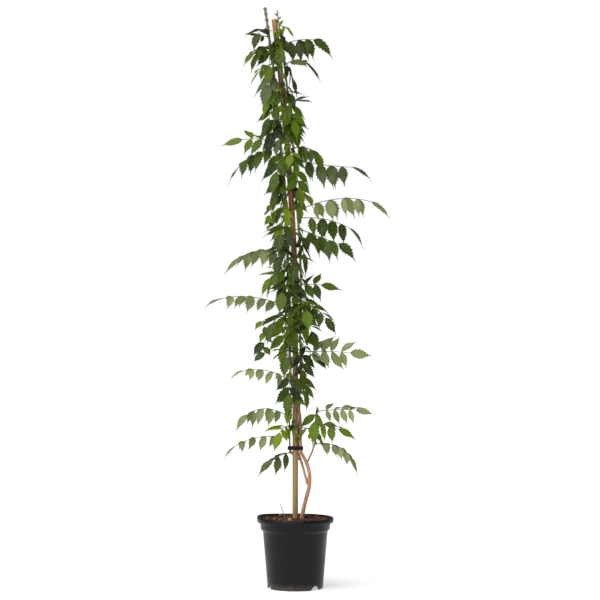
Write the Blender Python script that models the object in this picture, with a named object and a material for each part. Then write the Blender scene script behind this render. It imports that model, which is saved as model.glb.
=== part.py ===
"""A young trumpet vine tied to a bamboo cane in a nursery pot, in metres, +Z up.

The origin is the middle of the pot's foot. The viewer stands at -Y with +X to the right.
A bearing is an angle about +Z in degrees: 0 points at the viewer, 90 to the right and
-90 to the left. Sizes are written in millimetres and turned to metres by MM.
"""
import math
import random
from typing import NamedTuple

import bmesh
import bpy
import numpy as np
from mathutils.bvhtree import BVHTree

MM = 0.001
GAP = 0.3
SEED = 11
UP = np.array([0.0, 0.0, 1.0])

# Pot: outside radii and heights
POT_SEGMENTS = 28
POT_HEIGHT = 138.0
LIP_RADIUS = 75.0
LIP_HEIGHT = 10.0
COLLAR_RADIUS = 67.8
COLLAR_BOTTOM = 115.0
SHOULDER_RADIUS = 63.2
SHOULDER_HEIGHT = 111.0
FOOT_RADIUS = 54.0
POT_WALL = 1.8
BASE_UNDERSIDE = 8.0
FOOT_PAD_RADIUS = 15.0
NOTCH_RADIUS = 12.0
NOTCH_DROP = 3.5
LIP_LIFT = 3.5
LIP_LIFT_BEARING = -98.0
LIP_LIFT_SPREAD = 34.0
NOTCH_BEARINGS = (47.0, 167.0, 287.0)

# Soil
SOIL_TOP = 134.5
SOIL_BUMP = 1.2
SOIL_RINGS = 4
SOIL_SEGMENTS = 20

# Bamboo cane: upright below the bend, leaning to the left above it
CANE_RADIUS = 5.5
CANE_NODE_RADIUS = 6.1
CANE_SIDES = 8
CANE_BOTTOM = 14.0
CANE_TOP = 1110.0
CANE_BEND = 560.0
CANE_LEAN = 41.0
CANE_LEAN_POWER = 1.6
FIRST_CANE_NODE = 54.0
CANE_NODE_SPACING = 205.0
CANE_NODE_HALF = 5.0

# Woody stem: points (x, y, z) chosen by hand up to the first tie
TRUNK_POINTS = ((12, -3, 62), (12, -4, 100), (12, -5, 130), (16, -5, 154),
                (22, -5.5, 178), (26.5, -5, 195), (28, -4.5, 212), (26.5, -4, 230), (19.5, -3, 250))
BRANCH_POINTS = ((25, -4, 203), (20, 1, 217), (15.5, 4, 233), (10.5, 6.5, 250))
TRUNK_SIDES = 7
TRUNK_RADIUS = 4.2
TRUNK_TOP_RADIUS = 3.2
BRANCH_RADIUS = 2.3
WOOD_TOP = 288.0
JOIN_HEIGHT = 264.0
WOOD_STEP = 8.0
VINE_STEP = 30.0
VINE_BOW = 2.2
GREEN_SIDES = 6

# Dry twig, from its buried end up
TWIG_POINTS = ((-16, -12, 112), (-19, -13, 134), (-24, -14, 150), (-30, -14, 165))
TWIG_RADII = (1.1, 1.0, 0.9, 0.7)

# Plant tag: its lowest and highest corners
TAG_LOW = (30.0, 40.0, 100.0)
TAG_HIGH = (41.0, 41.2, 139.5)

# Ties round the cane and the vines
TIE_HEIGHTS = (273.0, 367.0, 500.0, 778.0, 1034.0)
TIE_TAIL_BEARINGS = (-70.0, -80.0, 60.0, 70.0, -85.0)
TIE_TAIL_REACH = 13.0
TIE_WIDTH = 7.0
TIE_THICKNESS = 1.3
TIE_SIDES = 12
TIE_SLACK = 0.6
TIE_TAIL_RADIUS = 1.0
CANE_SLACK = 0.3

# Leaf sheets
BLADE_THICKNESS = 0.75
RACHIS_THICKNESS = 1.6
RACHIS_WIDTH = 1.6
LEAFLET_FOOT = 3.2
LEAFLET_ANGLE = math.radians(58.0)
LEAFLET_WIDTH = 0.57
LEAFLET_CROWDING = 1.1
LEAFLET_TWIST = math.radians(13.0)
HANGING_TWIST = math.radians(-12.0)
PETIOLE_SHARE = 0.24
PETIOLE_LEAST = 11.0
ARCH_POWER = 1.3
HANG_BEND = 0.2
HANGING_DROOP = -70.0
TERMINAL_SCALE = 1.25
SMALL_LEAFLET = 35.5

# Clearing rule: a leaf is swung, tilted and slid, each try further, until it is clear
CLEARANCE = 1.4
STEM_CLEARANCE = 0.8
FREE_FROM_STEM = 6.5
SWING = 75.0
TILT = 26.0
SLIDE = 26.0
TRY_STEPS = (0.618034, 0.754878, 0.569840)
TRIES_PER_SIZE = 80
TRIES = 240
SHRINK = 0.14
TIE_CLEARANCE = 1.6
TIE_MARGIN = 7.0


class Vine(NamedTuple):
    """A stem that climbs along the cane, by bearing and distance from the cane's axis."""
    name: str
    heights: tuple
    bearings: tuple
    standoffs: tuple
    radii: tuple


class Leaf(NamedTuple):
    """One pinnate leaf: where it grows and how it is held."""
    vine: str
    height: float
    bearing: float
    reach: float
    rise: float
    droop: float
    pairs: int
    size: float
    roll: float = 0.0
    hang: float = 0.5


MAIN = Vine("main_vine",
            (262, 288, 340, 392, 450, 560, 760, 960, 1060, 1090, 1134),
            (78, 75, 50, -30, -80, -92, -95, -88, -88, -90, -95),
            (11.5, 9.6, 9.6, 9.4, 9.4, 10.5, 11.0, 11.0, 14.0, 14.5, 15.5),
            (3.2, 3.1, 2.9, 2.8, 2.7, 2.6, 2.5, 2.4, 2.3, 2.3, 2.2))
SECOND = Vine("second_vine",
              (262, 288, 340, 392, 450, 560, 760, 960, 1060, 1095, 1128),
              (150, 146, 128, 105, 98, 92, 94, 90, 86, 60, 60),
              (9.6, 8.6, 8.8, 9.0, 9.2, 9.4, 10.0, 9.6, 9.8, 9.0, 8.4),
              (2.3, 2.25, 2.2, 2.1, 2.1, 2.0, 2.0, 1.9, 1.8, 1.5, 1.0))
# Side shoots: height and bearing where each leaves the wood, then points by hand
SHOOTS = {
    "low_right_shoot": (246.0, 50.0, ((27, -10, 254), (34, -14, 270), (41, -14, 298), (43, -12, 354))),
    "low_left_shoot": (244.0, 172.0, ((8.5, 12.6, 249), (-1, 13.4, 256), (-9, 9, 266), (-11, 2, 286),
                                      (-11.5, -1, 346))),
}
SHOOT_RADII = (1.7, 1.5)
SHOOT_SEAT = 0.98
SHOOT_LEAD = (2.4, 0.8)

# Leaves that shape the outline, from the top down
OUTLINE_LEAVES = (
    Leaf("second_vine", 1060, 82, 67, 22, -12, 3, 40, 35, 2.2),
    Leaf("main_vine", 1076, -80, 30, 5, 12, 2, 16, 40, 0.3),
    Leaf("second_vine", 1098, 75, 24, -10, -50, 1, 15, 30, 0.5),
    Leaf("main_vine", 1058, -72, 42, -10, -45, 2, 24, 50, 0.5),
    Leaf("main_vine", 1024, -100, 36, -20, -50, 2, 24, 50, 0.5),
    Leaf("main_vine", 1010, -50, 36, 10, -72, 2, 40, 30, 0.3),
    Leaf("main_vine", 985, -88, 36, -10, -72, 2, 32, 30, 0.5),
    Leaf("second_vine", 1024, 60, 38, 0, -84, 2, 32, 30, 0.4),
    Leaf("second_vine", 962, 82, 30, 28, 8, 1, 26, 50, 0.2),
    Leaf("main_vine", 922, -58, 42, 5, -75, 2, 38, 40, 0.4),
    Leaf("main_vine", 876, -70, 80, 12, -12, 3, 33, 55, 0.3),
    Leaf("main_vine", 856, -100, 92, 0, -48, 4, 36, 30, 0.8),
    Leaf("second_vine", 858, 70, 52, 14, -55, 3, 33, 40, 1.4),
    Leaf("second_vine", 838, 90, 120, -14, 0, 4, 38, 30, 2.2),
    Leaf("second_vine", 736, 78, 156, 24, -18, 4, 37, 30, 1.6),
    Leaf("second_vine", 722, 98, 110, 4, -32, 4, 38, 30, 2.0),
    Leaf("second_vine", 702, 64, 96, -22, -16, 3, 38, 30, 2.0),
    Leaf("main_vine", 654, -88, 98, 14, -34, 4, 36, 35, 0.8),
    Leaf("main_vine", 618, -72, 46, 5, -62, 2, 30, 50, 0.2),
    Leaf("second_vine", 592, 88, 44, 4, -10, 2, 32, 60, 0.2),
    Leaf("main_vine", 546, -94, 140, 24, -14, 5, 32, 12, 0.7),
    Leaf("main_vine", 538, -60, 72, 10, -88, 3, 42, 50, 0.2),
    Leaf("second_vine", 568, 72, 70, -30, -52, 3, 30, 40, 0.4),
    Leaf("second_vine", 461, 86, 101, 2, -6, 4, 34, 75, 0.1),
    Leaf("second_vine", 478, 60, 64, -50, -30, 2, 24, 30, 0.4),
    Leaf("main_vine", 402, -88, 103, 34, -16, 4, 26, 25, 1.0),
    Leaf("low_left_shoot", 332, -86, 94, 36, -42, 4, 30, 25, 1.3),
    Leaf("low_left_shoot", 292, -98, 116, 10, -36, 4, 27, 20, 0.9),
    Leaf("low_left_shoot", 270, -78, 44, -15, -42, 2, 34, 40, 0.7),
    Leaf("low_left_shoot", 314, -35, 40, 10, -60, 2, 32, 50, 0.2),
    Leaf("low_right_shoot", 345, 84, 80, 8, -6, 4, 27, 60, 0.4),
    Leaf("low_right_shoot", 322, 76, 48, -10, -20, 2, 32, 40, 0.6),
    Leaf("low_right_shoot", 274, 92, 86, 12, -60, 4, 25, 20, 1.0),
    Leaf("low_right_shoot", 350, -30, 28, 10, -80, 1, 38, 0, 0.2),
)

# Leaves that cover the column towards the viewer
COLUMN_LEAVES = (
    Leaf("second_vine", 1074, 14, 34, 0, -78, 2, 34, 0, 0.15),
    Leaf("main_vine", 1052, -24, 40, 0, -80, 1, 34, 0, 0.15),
    Leaf("second_vine", 960, 28, 44, 0, -76, 2, 35, 0, 0.15),
    Leaf("main_vine", 940, -52, 44, 0, -80, 2, 36, 20, 0.15),
    Leaf("second_vine", 920, 56, 40, 0, -78, 2, 33, 20, 0.15),
    Leaf("main_vine", 902, -14, 46, 0, -76, 2, 38, 0, 0.15),
    Leaf("second_vine", 874, 22, 44, 0, -76, 2, 36, 0, 0.15),
    Leaf("main_vine", 846, -24, 50, 0, -78, 2, 39, 0, 0.15),
    Leaf("second_vine", 818, 40, 46, 0, -80, 2, 36, 10, 0.15),
    Leaf("main_vine", 808, -56, 46, 0, -80, 2, 37, 20, 0.15),
    Leaf("second_vine", 770, 50, 44, 0, -80, 2, 35, 10, 0.15),
    Leaf("main_vine", 750, -52, 46, 0, -80, 2, 37, 20, 0.15),
    Leaf("main_vine", 716, -40, 46, 0, -78, 2, 37, 20, 0.15),
    Leaf("second_vine", 690, 46, 46, 0, -80, 2, 37, 0, 0.15),
    Leaf("main_vine", 640, -28, 46, 0, -78, 2, 38, 0, 0.15),
    Leaf("second_vine", 616, 16, 46, 0, -78, 2, 38, 0, 0.15),
    Leaf("main_vine", 592, -20, 46, 0, -78, 2, 39, 0, 0.15),
    Leaf("second_vine", 566, 22, 46, 0, -78, 2, 38, 0, 0.15),
    Leaf("second_vine", 486, 34, 44, 0, -80, 2, 37, 0, 0.15),
    Leaf("main_vine", 420, -20, 44, 0, -80, 2, 37, 0, 0.15),
    Leaf("main_vine", 1086, -30, 44, 20, -60, 2, 32, 0, 0.15),
    Leaf("second_vine", 1040, 24, 56, 20, -62, 2, 34, 0, 0.15),
    Leaf("second_vine", 630, 26, 62, 24, -60, 2, 38, 0, 0.15),
    Leaf("main_vine", 470, -26, 58, 20, -60, 2, 36, 0, 0.15),
)

# Leaves in front of those, which may cross the leaves of their own vine, as they are fused
FRONT_LEAVES = (
    Leaf("main_vine", 664, -16, 62, 22, -60, 2, 38, 0, 0.15),
    Leaf("main_vine", 584, -14, 62, 24, -58, 2, 38, 0, 0.15),
    Leaf("second_vine", 552, 12, 62, 22, -60, 2, 38, 0, 0.15),
    Leaf("main_vine", 522, -20, 60, 20, -60, 2, 38, 0, 0.15),
    Leaf("second_vine", 512, 26, 60, 20, -60, 2, 36, 0, 0.15),
    Leaf("main_vine", 700, -14, 56, 20, -62, 2, 36, 0, 0.15),
)

# Leaves that fill the column where there is room, by a rule, from the top down
FILL_COUNT = 44
FILL_TOP = 1062.0
FILL_BOTTOM = 392.0
FILL_BEARING = (5, 110)
FILL_REACH = (36, 48)
FILL_DROOP = (-86, -62)
FILL_SIZE = (32, 38)
FILL_PAIRS = (1, 2, 2)

# Leaves on the far side: (height, bearing), held by a rule
BACK_NODES = ((1047, 175), (980, 200), (905, 160), (840, 195), (764, 150), (700, 200), (640, 165),
              (575, 205), (520, 160), (430, 190), (330, 165))
BACK_REACH = (46, 84)
BACK_RISE = (0, 30)
BACK_DROOP = (-55, -15)
BACK_SIZE = (29, 36)


def clear_scene():
    """Remove every object of the scene."""
    for item in list(bpy.data.objects):
        bpy.data.objects.remove(item, do_unlink=True)


def principled(name, colour, roughness, metallic=0.0):
    """A plain Principled BSDF material."""
    material = bpy.data.materials.new(name)
    material.use_nodes = True
    shader = material.node_tree.nodes["Principled BSDF"]
    shader.inputs["Base Color"].default_value = (*colour, 1.0)
    shader.inputs["Roughness"].default_value = roughness
    shader.inputs["Metallic"].default_value = metallic
    return material


def link_object(name, mesh, material, smooth_degrees=None):
    """Put a mesh into the scene as an object, shaded smooth below an angle."""
    mesh.materials.clear()
    mesh.materials.append(material)
    if smooth_degrees is not None:
        mesh.shade_smooth()
        mesh.set_sharp_from_angle(angle=math.radians(smooth_degrees))
    item = bpy.data.objects.new(name, mesh)
    bpy.context.scene.collection.objects.link(item)
    return item


def mesh_from(name, points_mm, faces):
    """A mesh from points in millimetres."""
    mesh = bpy.data.meshes.new(name)
    mesh.from_pydata([tuple(p) for p in np.asarray(points_mm) * MM], [], faces)
    mesh.update()
    return mesh


def turned(name, profile, segments):
    """Turn a profile of (radius, height), which starts and ends on the axis, about Z."""
    shape = bmesh.new()
    verts = [shape.verts.new((r * MM, 0.0, z * MM)) for r, z in profile]
    edges = [shape.edges.new(pair) for pair in zip(verts, verts[1:])]
    bmesh.ops.spin(shape, geom=verts + edges, cent=(0, 0, 0), axis=(0, 0, 1),
                   angle=2 * math.pi, steps=segments, use_merge=True)
    bmesh.ops.remove_doubles(shape, verts=shape.verts, dist=0.00001)
    bmesh.ops.recalc_face_normals(shape, faces=shape.faces)
    mesh = bpy.data.meshes.new(name)
    shape.to_mesh(mesh)
    shape.free()
    return mesh


def smooth_path(points, steps):
    """Catmull-Rom curve through the points, with the given steps between each two."""
    points = np.asarray(points, float)
    ends = np.vstack([2 * points[0] - points[1], points, 2 * points[-1] - points[-2]])
    out = []
    for before, start, end, after in zip(ends, ends[1:], ends[2:], ends[3:]):
        for t in np.arange(steps) / steps:
            out.append(0.5 * (2 * start + (end - before) * t
                              + (2 * before - 5 * start + 4 * end - after) * t ** 2
                              + (3 * start - before - 3 * end + after) * t ** 3))
    out.append(points[-1])
    return np.array(out)


def tube(path, radii, sides):
    """Points and faces of a closed tube along a path, its section turned with the path."""
    path = np.asarray(path, float)
    radii = np.broadcast_to(radii, len(path))
    tangents = np.gradient(path, axis=0)
    tangents /= np.linalg.norm(tangents, axis=1)[:, None]
    side = np.cross(tangents[0], (0.0, 1.0, 0.0))
    points = []
    for centre, tangent, radius in zip(path, tangents, radii):
        side = side - tangent * side.dot(tangent)
        side /= np.linalg.norm(side)
        across = np.cross(tangent, side)
        for k in range(sides):
            angle = 2 * math.pi * (k + 0.5) / sides
            points.append(centre + radius * (math.cos(angle) * side + math.sin(angle) * across))
    faces = []
    for ring in range(len(path) - 1):
        for k in range(sides):
            low = ring * sides
            nxt = (k + 1) % sides
            faces.append((low + k, low + nxt, low + sides + nxt, low + sides + k))
    faces.append(tuple(reversed(range(sides))))
    faces.append(tuple(range((len(path) - 1) * sides, len(path) * sides)))
    return points, faces


def apply_boolean(target, operation, operand=None, collection=None, solver="EXACT"):
    """Apply one Boolean to the target and remove what it was cut by or joined with."""
    modifier = target.modifiers.new("boolean", "BOOLEAN")
    modifier.operation = operation
    modifier.solver = solver
    if collection is not None:
        modifier.operand_type = "COLLECTION"
        modifier.collection = collection
    else:
        modifier.object = operand
    bpy.context.view_layer.update()
    evaluated = target.evaluated_get(bpy.context.evaluated_depsgraph_get())
    mesh = bpy.data.meshes.new_from_object(evaluated)
    target.modifiers.remove(modifier)
    target.data = mesh
    used = [operand] if operand is not None else list(collection.objects)
    for item in used:
        bpy.data.objects.remove(item, do_unlink=True)


def cutter(name, points, faces):
    """A hidden wire object that a Boolean cuts with."""
    item = link_object(name, mesh_from(name, points, faces), bpy.data.materials["cutter"])
    item.hide_render = True
    item.display_type = "WIRE"
    return item


def direction(bearing):
    """Horizontal unit vector of a bearing in degrees."""
    angle = math.radians(bearing)
    return np.array([math.sin(angle), -math.cos(angle), 0.0])


def cane_axis(z):
    """Point of the cane's axis at a height: its lean grows by a power above the bend."""
    rise = max(0.0, z - CANE_BEND) / (CANE_TOP - CANE_BEND)
    return np.array([-CANE_LEAN * rise ** CANE_LEAN_POWER, 0.0, z])


def slack(z):
    """How far a vine bows off the cane between two ties, nothing at a tie."""
    for low, high in zip(TIE_HEIGHTS, TIE_HEIGHTS[1:]):
        if low < z < high:
            return VINE_BOW * math.sin(math.pi * (z - low) / (high - low)) ** 2
    return 0.0


def vine_point(vine, z):
    """Point of a vine's axis at a height."""
    bearing = np.interp(z, vine.heights, vine.bearings)
    standoff = np.interp(z, vine.heights, vine.standoffs) + slack(z)
    return cane_axis(z) + standoff * direction(bearing)


def vine_radius(vine, z):
    """Radius of a vine at a height."""
    return float(np.interp(z, vine.heights, vine.radii))


def vine_path(vine, low, high, step=VINE_STEP):
    """Points and radii of a vine between two heights."""
    heights = np.linspace(low, high, max(2, int(round((high - low) / step)) + 1))
    return np.array([vine_point(vine, z) for z in heights]), [vine_radius(vine, z) for z in heights]


def point_at(path, z):
    """Point of a rising path at a height."""
    return np.array([np.interp(z, path[:, 2], path[:, k]) for k in range(3)])


def shoot_path(name):
    """Points and radii of a side shoot, whose root sits on the bark of the wood it leaves."""
    height, bearing, points = SHOOTS[name]
    wood, radii = trunk_path() if name == "low_right_shoot" else branch_path()
    radius = np.interp(height, wood[:, 2], np.broadcast_to(radii, len(wood)))
    along = point_at(wood, height + 2.0) - point_at(wood, height - 2.0)
    along /= np.linalg.norm(along)
    out = direction(bearing) - along * along.dot(direction(bearing))
    out /= np.linalg.norm(out)
    root = point_at(wood, height) + out * (radius * SHOOT_SEAT + GAP)
    lead = root + out * SHOOT_LEAD[0] + UP * SHOOT_LEAD[1]
    path = smooth_path([root, lead, *points], 3)
    return path, np.linspace(SHOOT_RADII[0], SHOOT_RADII[1], len(path))


def stem_at(name, z):
    """Axis point of the stem of that name at a height."""
    for vine in (MAIN, SECOND):
        if vine.name == name:
            return vine_point(vine, z)
    return point_at(shoot_path(name)[0], z)


def pot_inner_profile(clearance):
    """Inside line of the pot from the base to the lip, drawn in by a clearance."""
    wall = POT_WALL + clearance
    return [(FOOT_RADIUS + 0.6 - wall, BASE_UNDERSIDE + wall),
            (SHOULDER_RADIUS - wall, SHOULDER_HEIGHT + 0.8),
            (COLLAR_RADIUS - wall, COLLAR_BOTTOM + 0.8)]


def lip_lift(x, y, z):
    """How far the lip is bent up: a bell curve round the rim, from nothing below the lip."""
    away = (math.degrees(math.atan2(x, -y)) - LIP_LIFT_BEARING + 180.0) % 360.0 - 180.0
    share = min(max((z - POT_HEIGHT + LIP_HEIGHT + 2.0) / LIP_HEIGHT, 0.0), 1.0)
    return LIP_LIFT * share * math.exp(-(away / LIP_LIFT_SPREAD) ** 2)


def make_pot():
    """Nursery pot: tapered wall, collar, overhanging lip, foot ring with arched notches."""
    lip_bottom = POT_HEIGHT - LIP_HEIGHT
    outside = [(0, 0), (FOOT_PAD_RADIUS, 0), (FOOT_PAD_RADIUS + 1.5, BASE_UNDERSIDE),
               (FOOT_RADIUS - 3.2, BASE_UNDERSIDE), (FOOT_RADIUS - 2.4, 0), (FOOT_RADIUS, 0),
               (SHOULDER_RADIUS, SHOULDER_HEIGHT), (COLLAR_RADIUS, COLLAR_BOTTOM),
               (COLLAR_RADIUS + 0.7, lip_bottom), (LIP_RADIUS - 0.6, lip_bottom),
               (LIP_RADIUS, lip_bottom + 1), (LIP_RADIUS, POT_HEIGHT - 1.2),
               (LIP_RADIUS - 1.2, POT_HEIGHT), (LIP_RADIUS - 4.5, POT_HEIGHT)]
    inside = [(COLLAR_RADIUS + 0.7 - POT_WALL, lip_bottom + 2)]
    inside += list(reversed(pot_inner_profile(0.0))) + [(0, BASE_UNDERSIDE + POT_WALL)]
    mesh = turned("pot", outside + inside, POT_SEGMENTS)
    for vert in mesh.vertices:
        vert.co.z += lip_lift(*vert.co / MM) * MM
    pot = link_object("pot", mesh, principled("black polypropylene", (0.018, 0.018, 0.02), 0.42), 35)
    for bearing in NOTCH_BEARINGS:
        out = direction(bearing)
        drop = UP * NOTCH_DROP
        points, faces = tube([out * 44.0 - drop, out * 62.0 - drop], NOTCH_RADIUS, 16)
        apply_boolean(pot, "DIFFERENCE", cutter("notch", points, faces))


def soil_height(x, y):
    """Height of the soil's bumpy surface."""
    return SOIL_TOP + SOIL_BUMP * (math.sin(x / 9.0 + 0.6) * math.cos(y / 11.0)
                                   + 0.6 * math.sin((x + 1.7 * y) / 6.5))


def make_soil():
    """Potting mix down to the base plate, its top raised by a formula."""
    gap = GAP + COLLAR_RADIUS * (1.0 - math.cos(math.pi / POT_SEGMENTS))
    wall = pot_inner_profile(gap)
    rim_radius = wall[-1][0] + 0.2
    profile = [(0, wall[0][1])] + wall
    profile += [(rim_radius * (SOIL_RINGS - k) / SOIL_RINGS, SOIL_TOP) for k in range(SOIL_RINGS + 1)]
    mesh = turned("soil", profile, SOIL_SEGMENTS)
    for vert in mesh.vertices:
        x, y, z = vert.co / MM
        if z > SOIL_TOP - 1:
            vert.co.z = soil_height(x, y) * MM
    return link_object("soil", mesh, principled("potting mix", (0.06, 0.03, 0.018), 0.95))


def grown(radius, sides):
    """Radius of a hole whose flats stay GAP off a stem with as many sides."""
    return radius + (GAP + 0.05) / math.cos(math.pi / sides)


def cane_path():
    """Points and radii of the cane, with a low swelling at each node."""
    heights = set(np.linspace(CANE_BOTTOM, CANE_BEND, 3)) | set(np.linspace(CANE_BEND, CANE_TOP, 7))
    swellings = np.arange(FIRST_CANE_NODE, CANE_TOP - 20, CANE_NODE_SPACING)
    for height in swellings:
        heights |= {height - CANE_NODE_HALF, height, height + CANE_NODE_HALF}
    heights = sorted(heights)
    radii = [CANE_NODE_RADIUS if z in swellings else CANE_RADIUS for z in heights]
    return np.array([cane_axis(z) for z in heights]), radii


def make_cane(soil):
    """Bamboo cane, standing in a plain hole in the soil."""
    path, radii = cane_path()
    points, faces = tube(path, radii, CANE_SIDES)
    cane = principled("bamboo", (0.42, 0.26, 0.11), 0.5)
    link_object("bamboo_cane", mesh_from("bamboo_cane", points, faces), cane, 50)
    hole = [(0, 0, CANE_BOTTOM - GAP), (0, 0, POT_HEIGHT)]
    points, faces = tube(hole, grown(CANE_NODE_RADIUS, CANE_SIDES), CANE_SIDES)
    apply_boolean(soil, "DIFFERENCE", cutter("cane hole", points, faces))


def trunk_path():
    """Points and radii of the trunk and its thicker branch, up to the first tie."""
    low = smooth_path(TRUNK_POINTS, 2)
    high, _ = vine_path(MAIN, JOIN_HEIGHT, WOOD_TOP, WOOD_STEP)
    path = np.vstack([low, high])
    return path, np.linspace(TRUNK_RADIUS, TRUNK_TOP_RADIUS, len(path))


def branch_path():
    """Points and radii of the thinner woody branch, from the fork to the first tie."""
    low = smooth_path(BRANCH_POINTS, 2)
    high, _ = vine_path(SECOND, JOIN_HEIGHT, WOOD_TOP, WOOD_STEP)
    return np.vstack([low, high]), BRANCH_RADIUS


def make_woody_stem(soil):
    """Forked woody stem: the thinner branch is joined to the trunk at the fork."""
    wood = principled("young bark", (0.33, 0.19, 0.11), 0.8)
    points, faces = tube(*trunk_path(), TRUNK_SIDES)
    trunk = link_object("woody_stem", mesh_from("woody_stem", points, faces), wood)
    path, radius = branch_path()
    points, faces = tube(path, radius, TRUNK_SIDES)
    branch = link_object("branch", mesh_from("branch", points, faces), wood)
    apply_boolean(trunk, "UNION", branch)
    path, _ = trunk_path()
    buried = path[path[:, 2] < POT_HEIGHT + 18]
    buried = np.vstack([buried[0] - (0, 0, GAP), buried[1:]])
    points, faces = tube(buried, grown(TRUNK_RADIUS, TRUNK_SIDES), TRUNK_SIDES)
    apply_boolean(soil, "DIFFERENCE", cutter("stem hole", points, faces))


def make_twig(soil):
    """Dry twig that leans out of the soil on the left."""
    path = np.array(TWIG_POINTS, float)
    points, faces = tube(path, TWIG_RADII, GREEN_SIDES)
    dry = principled("dry twig", (0.25, 0.15, 0.08), 0.85)
    link_object("dry_twig", mesh_from("dry_twig", points, faces), dry)
    hole = np.vstack([path[0] + (path[0] - path[1]) * 0.03, path[1:]])
    points, faces = tube(hole, grown(TWIG_RADII[0] + 0.2, GREEN_SIDES), GREEN_SIDES)
    apply_boolean(soil, "DIFFERENCE", cutter("twig hole", points, faces))


def box_between(low, high):
    """Points and faces of an upright box."""
    points = [(x, y, z) for x in (low[0], high[0]) for y in (low[1], high[1]) for z in (low[2], high[2])]
    faces = [(0, 1, 3, 2), (4, 6, 7, 5), (0, 4, 5, 1), (2, 3, 7, 6), (0, 2, 6, 4), (1, 5, 7, 3)]
    return points, faces


def make_tag(soil):
    """Small black tag pushed into the soil at the back."""
    low, high = np.array(TAG_LOW), np.array(TAG_HIGH)
    tag = principled("black styrene", (0.02, 0.02, 0.022), 0.5)
    link_object("plant_tag", mesh_from("plant_tag", *box_between(low, high)), tag)
    slot = box_between(low - (GAP, GAP, GAP), high + (GAP, GAP, GAP))
    apply_boolean(soil, "DIFFERENCE", cutter("tag slot", *slot))


def tie_outline(z, tail, margin):
    """Support points of a band round the cane, the vines and its own pinched tail at a height."""
    circles = [(cane_axis(z), CANE_RADIUS + CANE_SLACK)]
    circles += [(vine_point(vine, z), vine_radius(vine, z)) for vine in (MAIN, SECOND)]
    circles.append((cane_axis(z) + TIE_TAIL_REACH * direction(tail), TIE_TAIL_RADIUS))
    points = []
    for k in range(TIE_SIDES):
        normal = direction(360.0 * k / TIE_SIDES)
        centre_point, radius = max(circles, key=lambda c: c[0].dot(normal) + c[1])
        points.append(centre_point + (radius + margin) * normal)
    return points


def make_tie(number, height, tail, material):
    """One black band: a ring whose section follows what it holds at its two edges."""
    low, high = height - TIE_WIDTH / 2, height + TIE_WIDTH / 2
    inner, outer = TIE_SLACK, TIE_SLACK + TIE_THICKNESS
    loops = [tie_outline(low, tail, inner), tie_outline(low, tail, outer),
             tie_outline(high, tail, outer), tie_outline(high, tail, inner)]
    points = [point for loop in loops for point in loop]
    faces = []
    for loop in range(4):
        for k in range(TIE_SIDES):
            here, there = loop * TIE_SIDES, (loop + 1) % 4 * TIE_SIDES
            nxt = (k + 1) % TIE_SIDES
            faces.append((here + k, here + nxt, there + nxt, there + k))
    name = f"tie_{number}"
    mesh = mesh_from(name, points, faces)
    shape = bmesh.new()
    shape.from_mesh(mesh)
    bmesh.ops.recalc_face_normals(shape, faces=shape.faces)
    shape.to_mesh(mesh)
    shape.free()
    link_object(name, mesh, material)


class Sheet:
    """A thin closed sheet: a middle surface in triangles, given its thickness both ways."""

    def __init__(self):
        self.points = []
        self.normals = []
        self.halves = []
        self.faces = []

    def add(self, point, normal, thickness):
        """Add a point of the middle surface and return its number."""
        self.points.append(point)
        self.normals.append(normal / np.linalg.norm(normal))
        self.halves.append(thickness / 2)
        return len(self.points) - 1

    def quad(self, a, b, c, d):
        """Two triangles of a quad, split from a to c."""
        self.faces += [(a, b, c), (a, c, d)]

    def solid(self, extra=0.0):
        """Points and triangles: the upper side, the same triangles below, and the edge walls."""
        points = np.array(self.points)
        offset = np.array(self.normals) * (np.array(self.halves) + extra)[:, None]
        count = len(points)
        faces = [tuple(f) for f in self.faces]
        faces += [(c + count, b + count, a + count) for a, b, c in self.faces]
        edges = {(f[k], f[(k + 1) % 3]) for f in self.faces for k in range(3)}
        for a, b in sorted(edges):
            if (b, a) not in edges:
                faces += [(b, a, a + count), (b, a + count, b + count)]
        return np.vstack([points + offset, points - offset]), faces


def slope_at(leaf, share):
    """Slope of a leaf's midline, in radians: a hanging leaf bends in its petiole, others arch."""
    if leaf.droop < HANGING_DROOP:
        bend = np.minimum(share / HANG_BEND, 1.0)
    else:
        bend = share ** ARCH_POWER
    return np.radians(leaf.rise + (leaf.droop - leaf.rise) * bend)


def rachis_path(leaf, start):
    """Midline of a leaf, as a function of the share of its reach; it keeps its bearing."""
    steps = 60
    slope = slope_at(leaf, (np.arange(steps) + 0.5) / steps)
    out = direction(leaf.bearing)
    moves = (np.cos(slope)[:, None] * out + np.sin(slope)[:, None] * UP) * leaf.reach / steps
    points = start + np.vstack([np.zeros(3), np.cumsum(moves, axis=0)])
    grid = np.linspace(0.0, 1.0, steps + 1)

    def at(where):
        point = np.array([np.interp(where, grid, points[:, k]) for k in range(3)])
        angle = slope_at(leaf, where)
        return point, math.cos(angle) * out + math.sin(angle) * UP

    return at


def leaf_side(leaf, tangent):
    """Unit vector across a leaf: level, then rolled so that its upper face turns to the viewer."""
    level = np.cross(direction(leaf.bearing), UP)
    upper = np.cross(level, tangent)
    roll = math.radians(leaf.roll) * -level[1]
    return math.cos(roll) * level - math.sin(roll) * upper


def leaflet_rows(size):
    """Rows of a leaflet outline: (share of length, rear half width, front half width).

    A tooth stands out on each edge, at another place in front than behind, and the
    blade narrows to a drawn-out tip. Small leaflets have a row less.
    """
    if size < SMALL_LEAFLET:
        return ((0.28, 0.50, 0.42), (0.64, 0.29, 0.28))
    return ((0.23, 0.49, 0.36), (0.52, 0.42, 0.45), (0.78, 0.17, 0.13))


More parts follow.
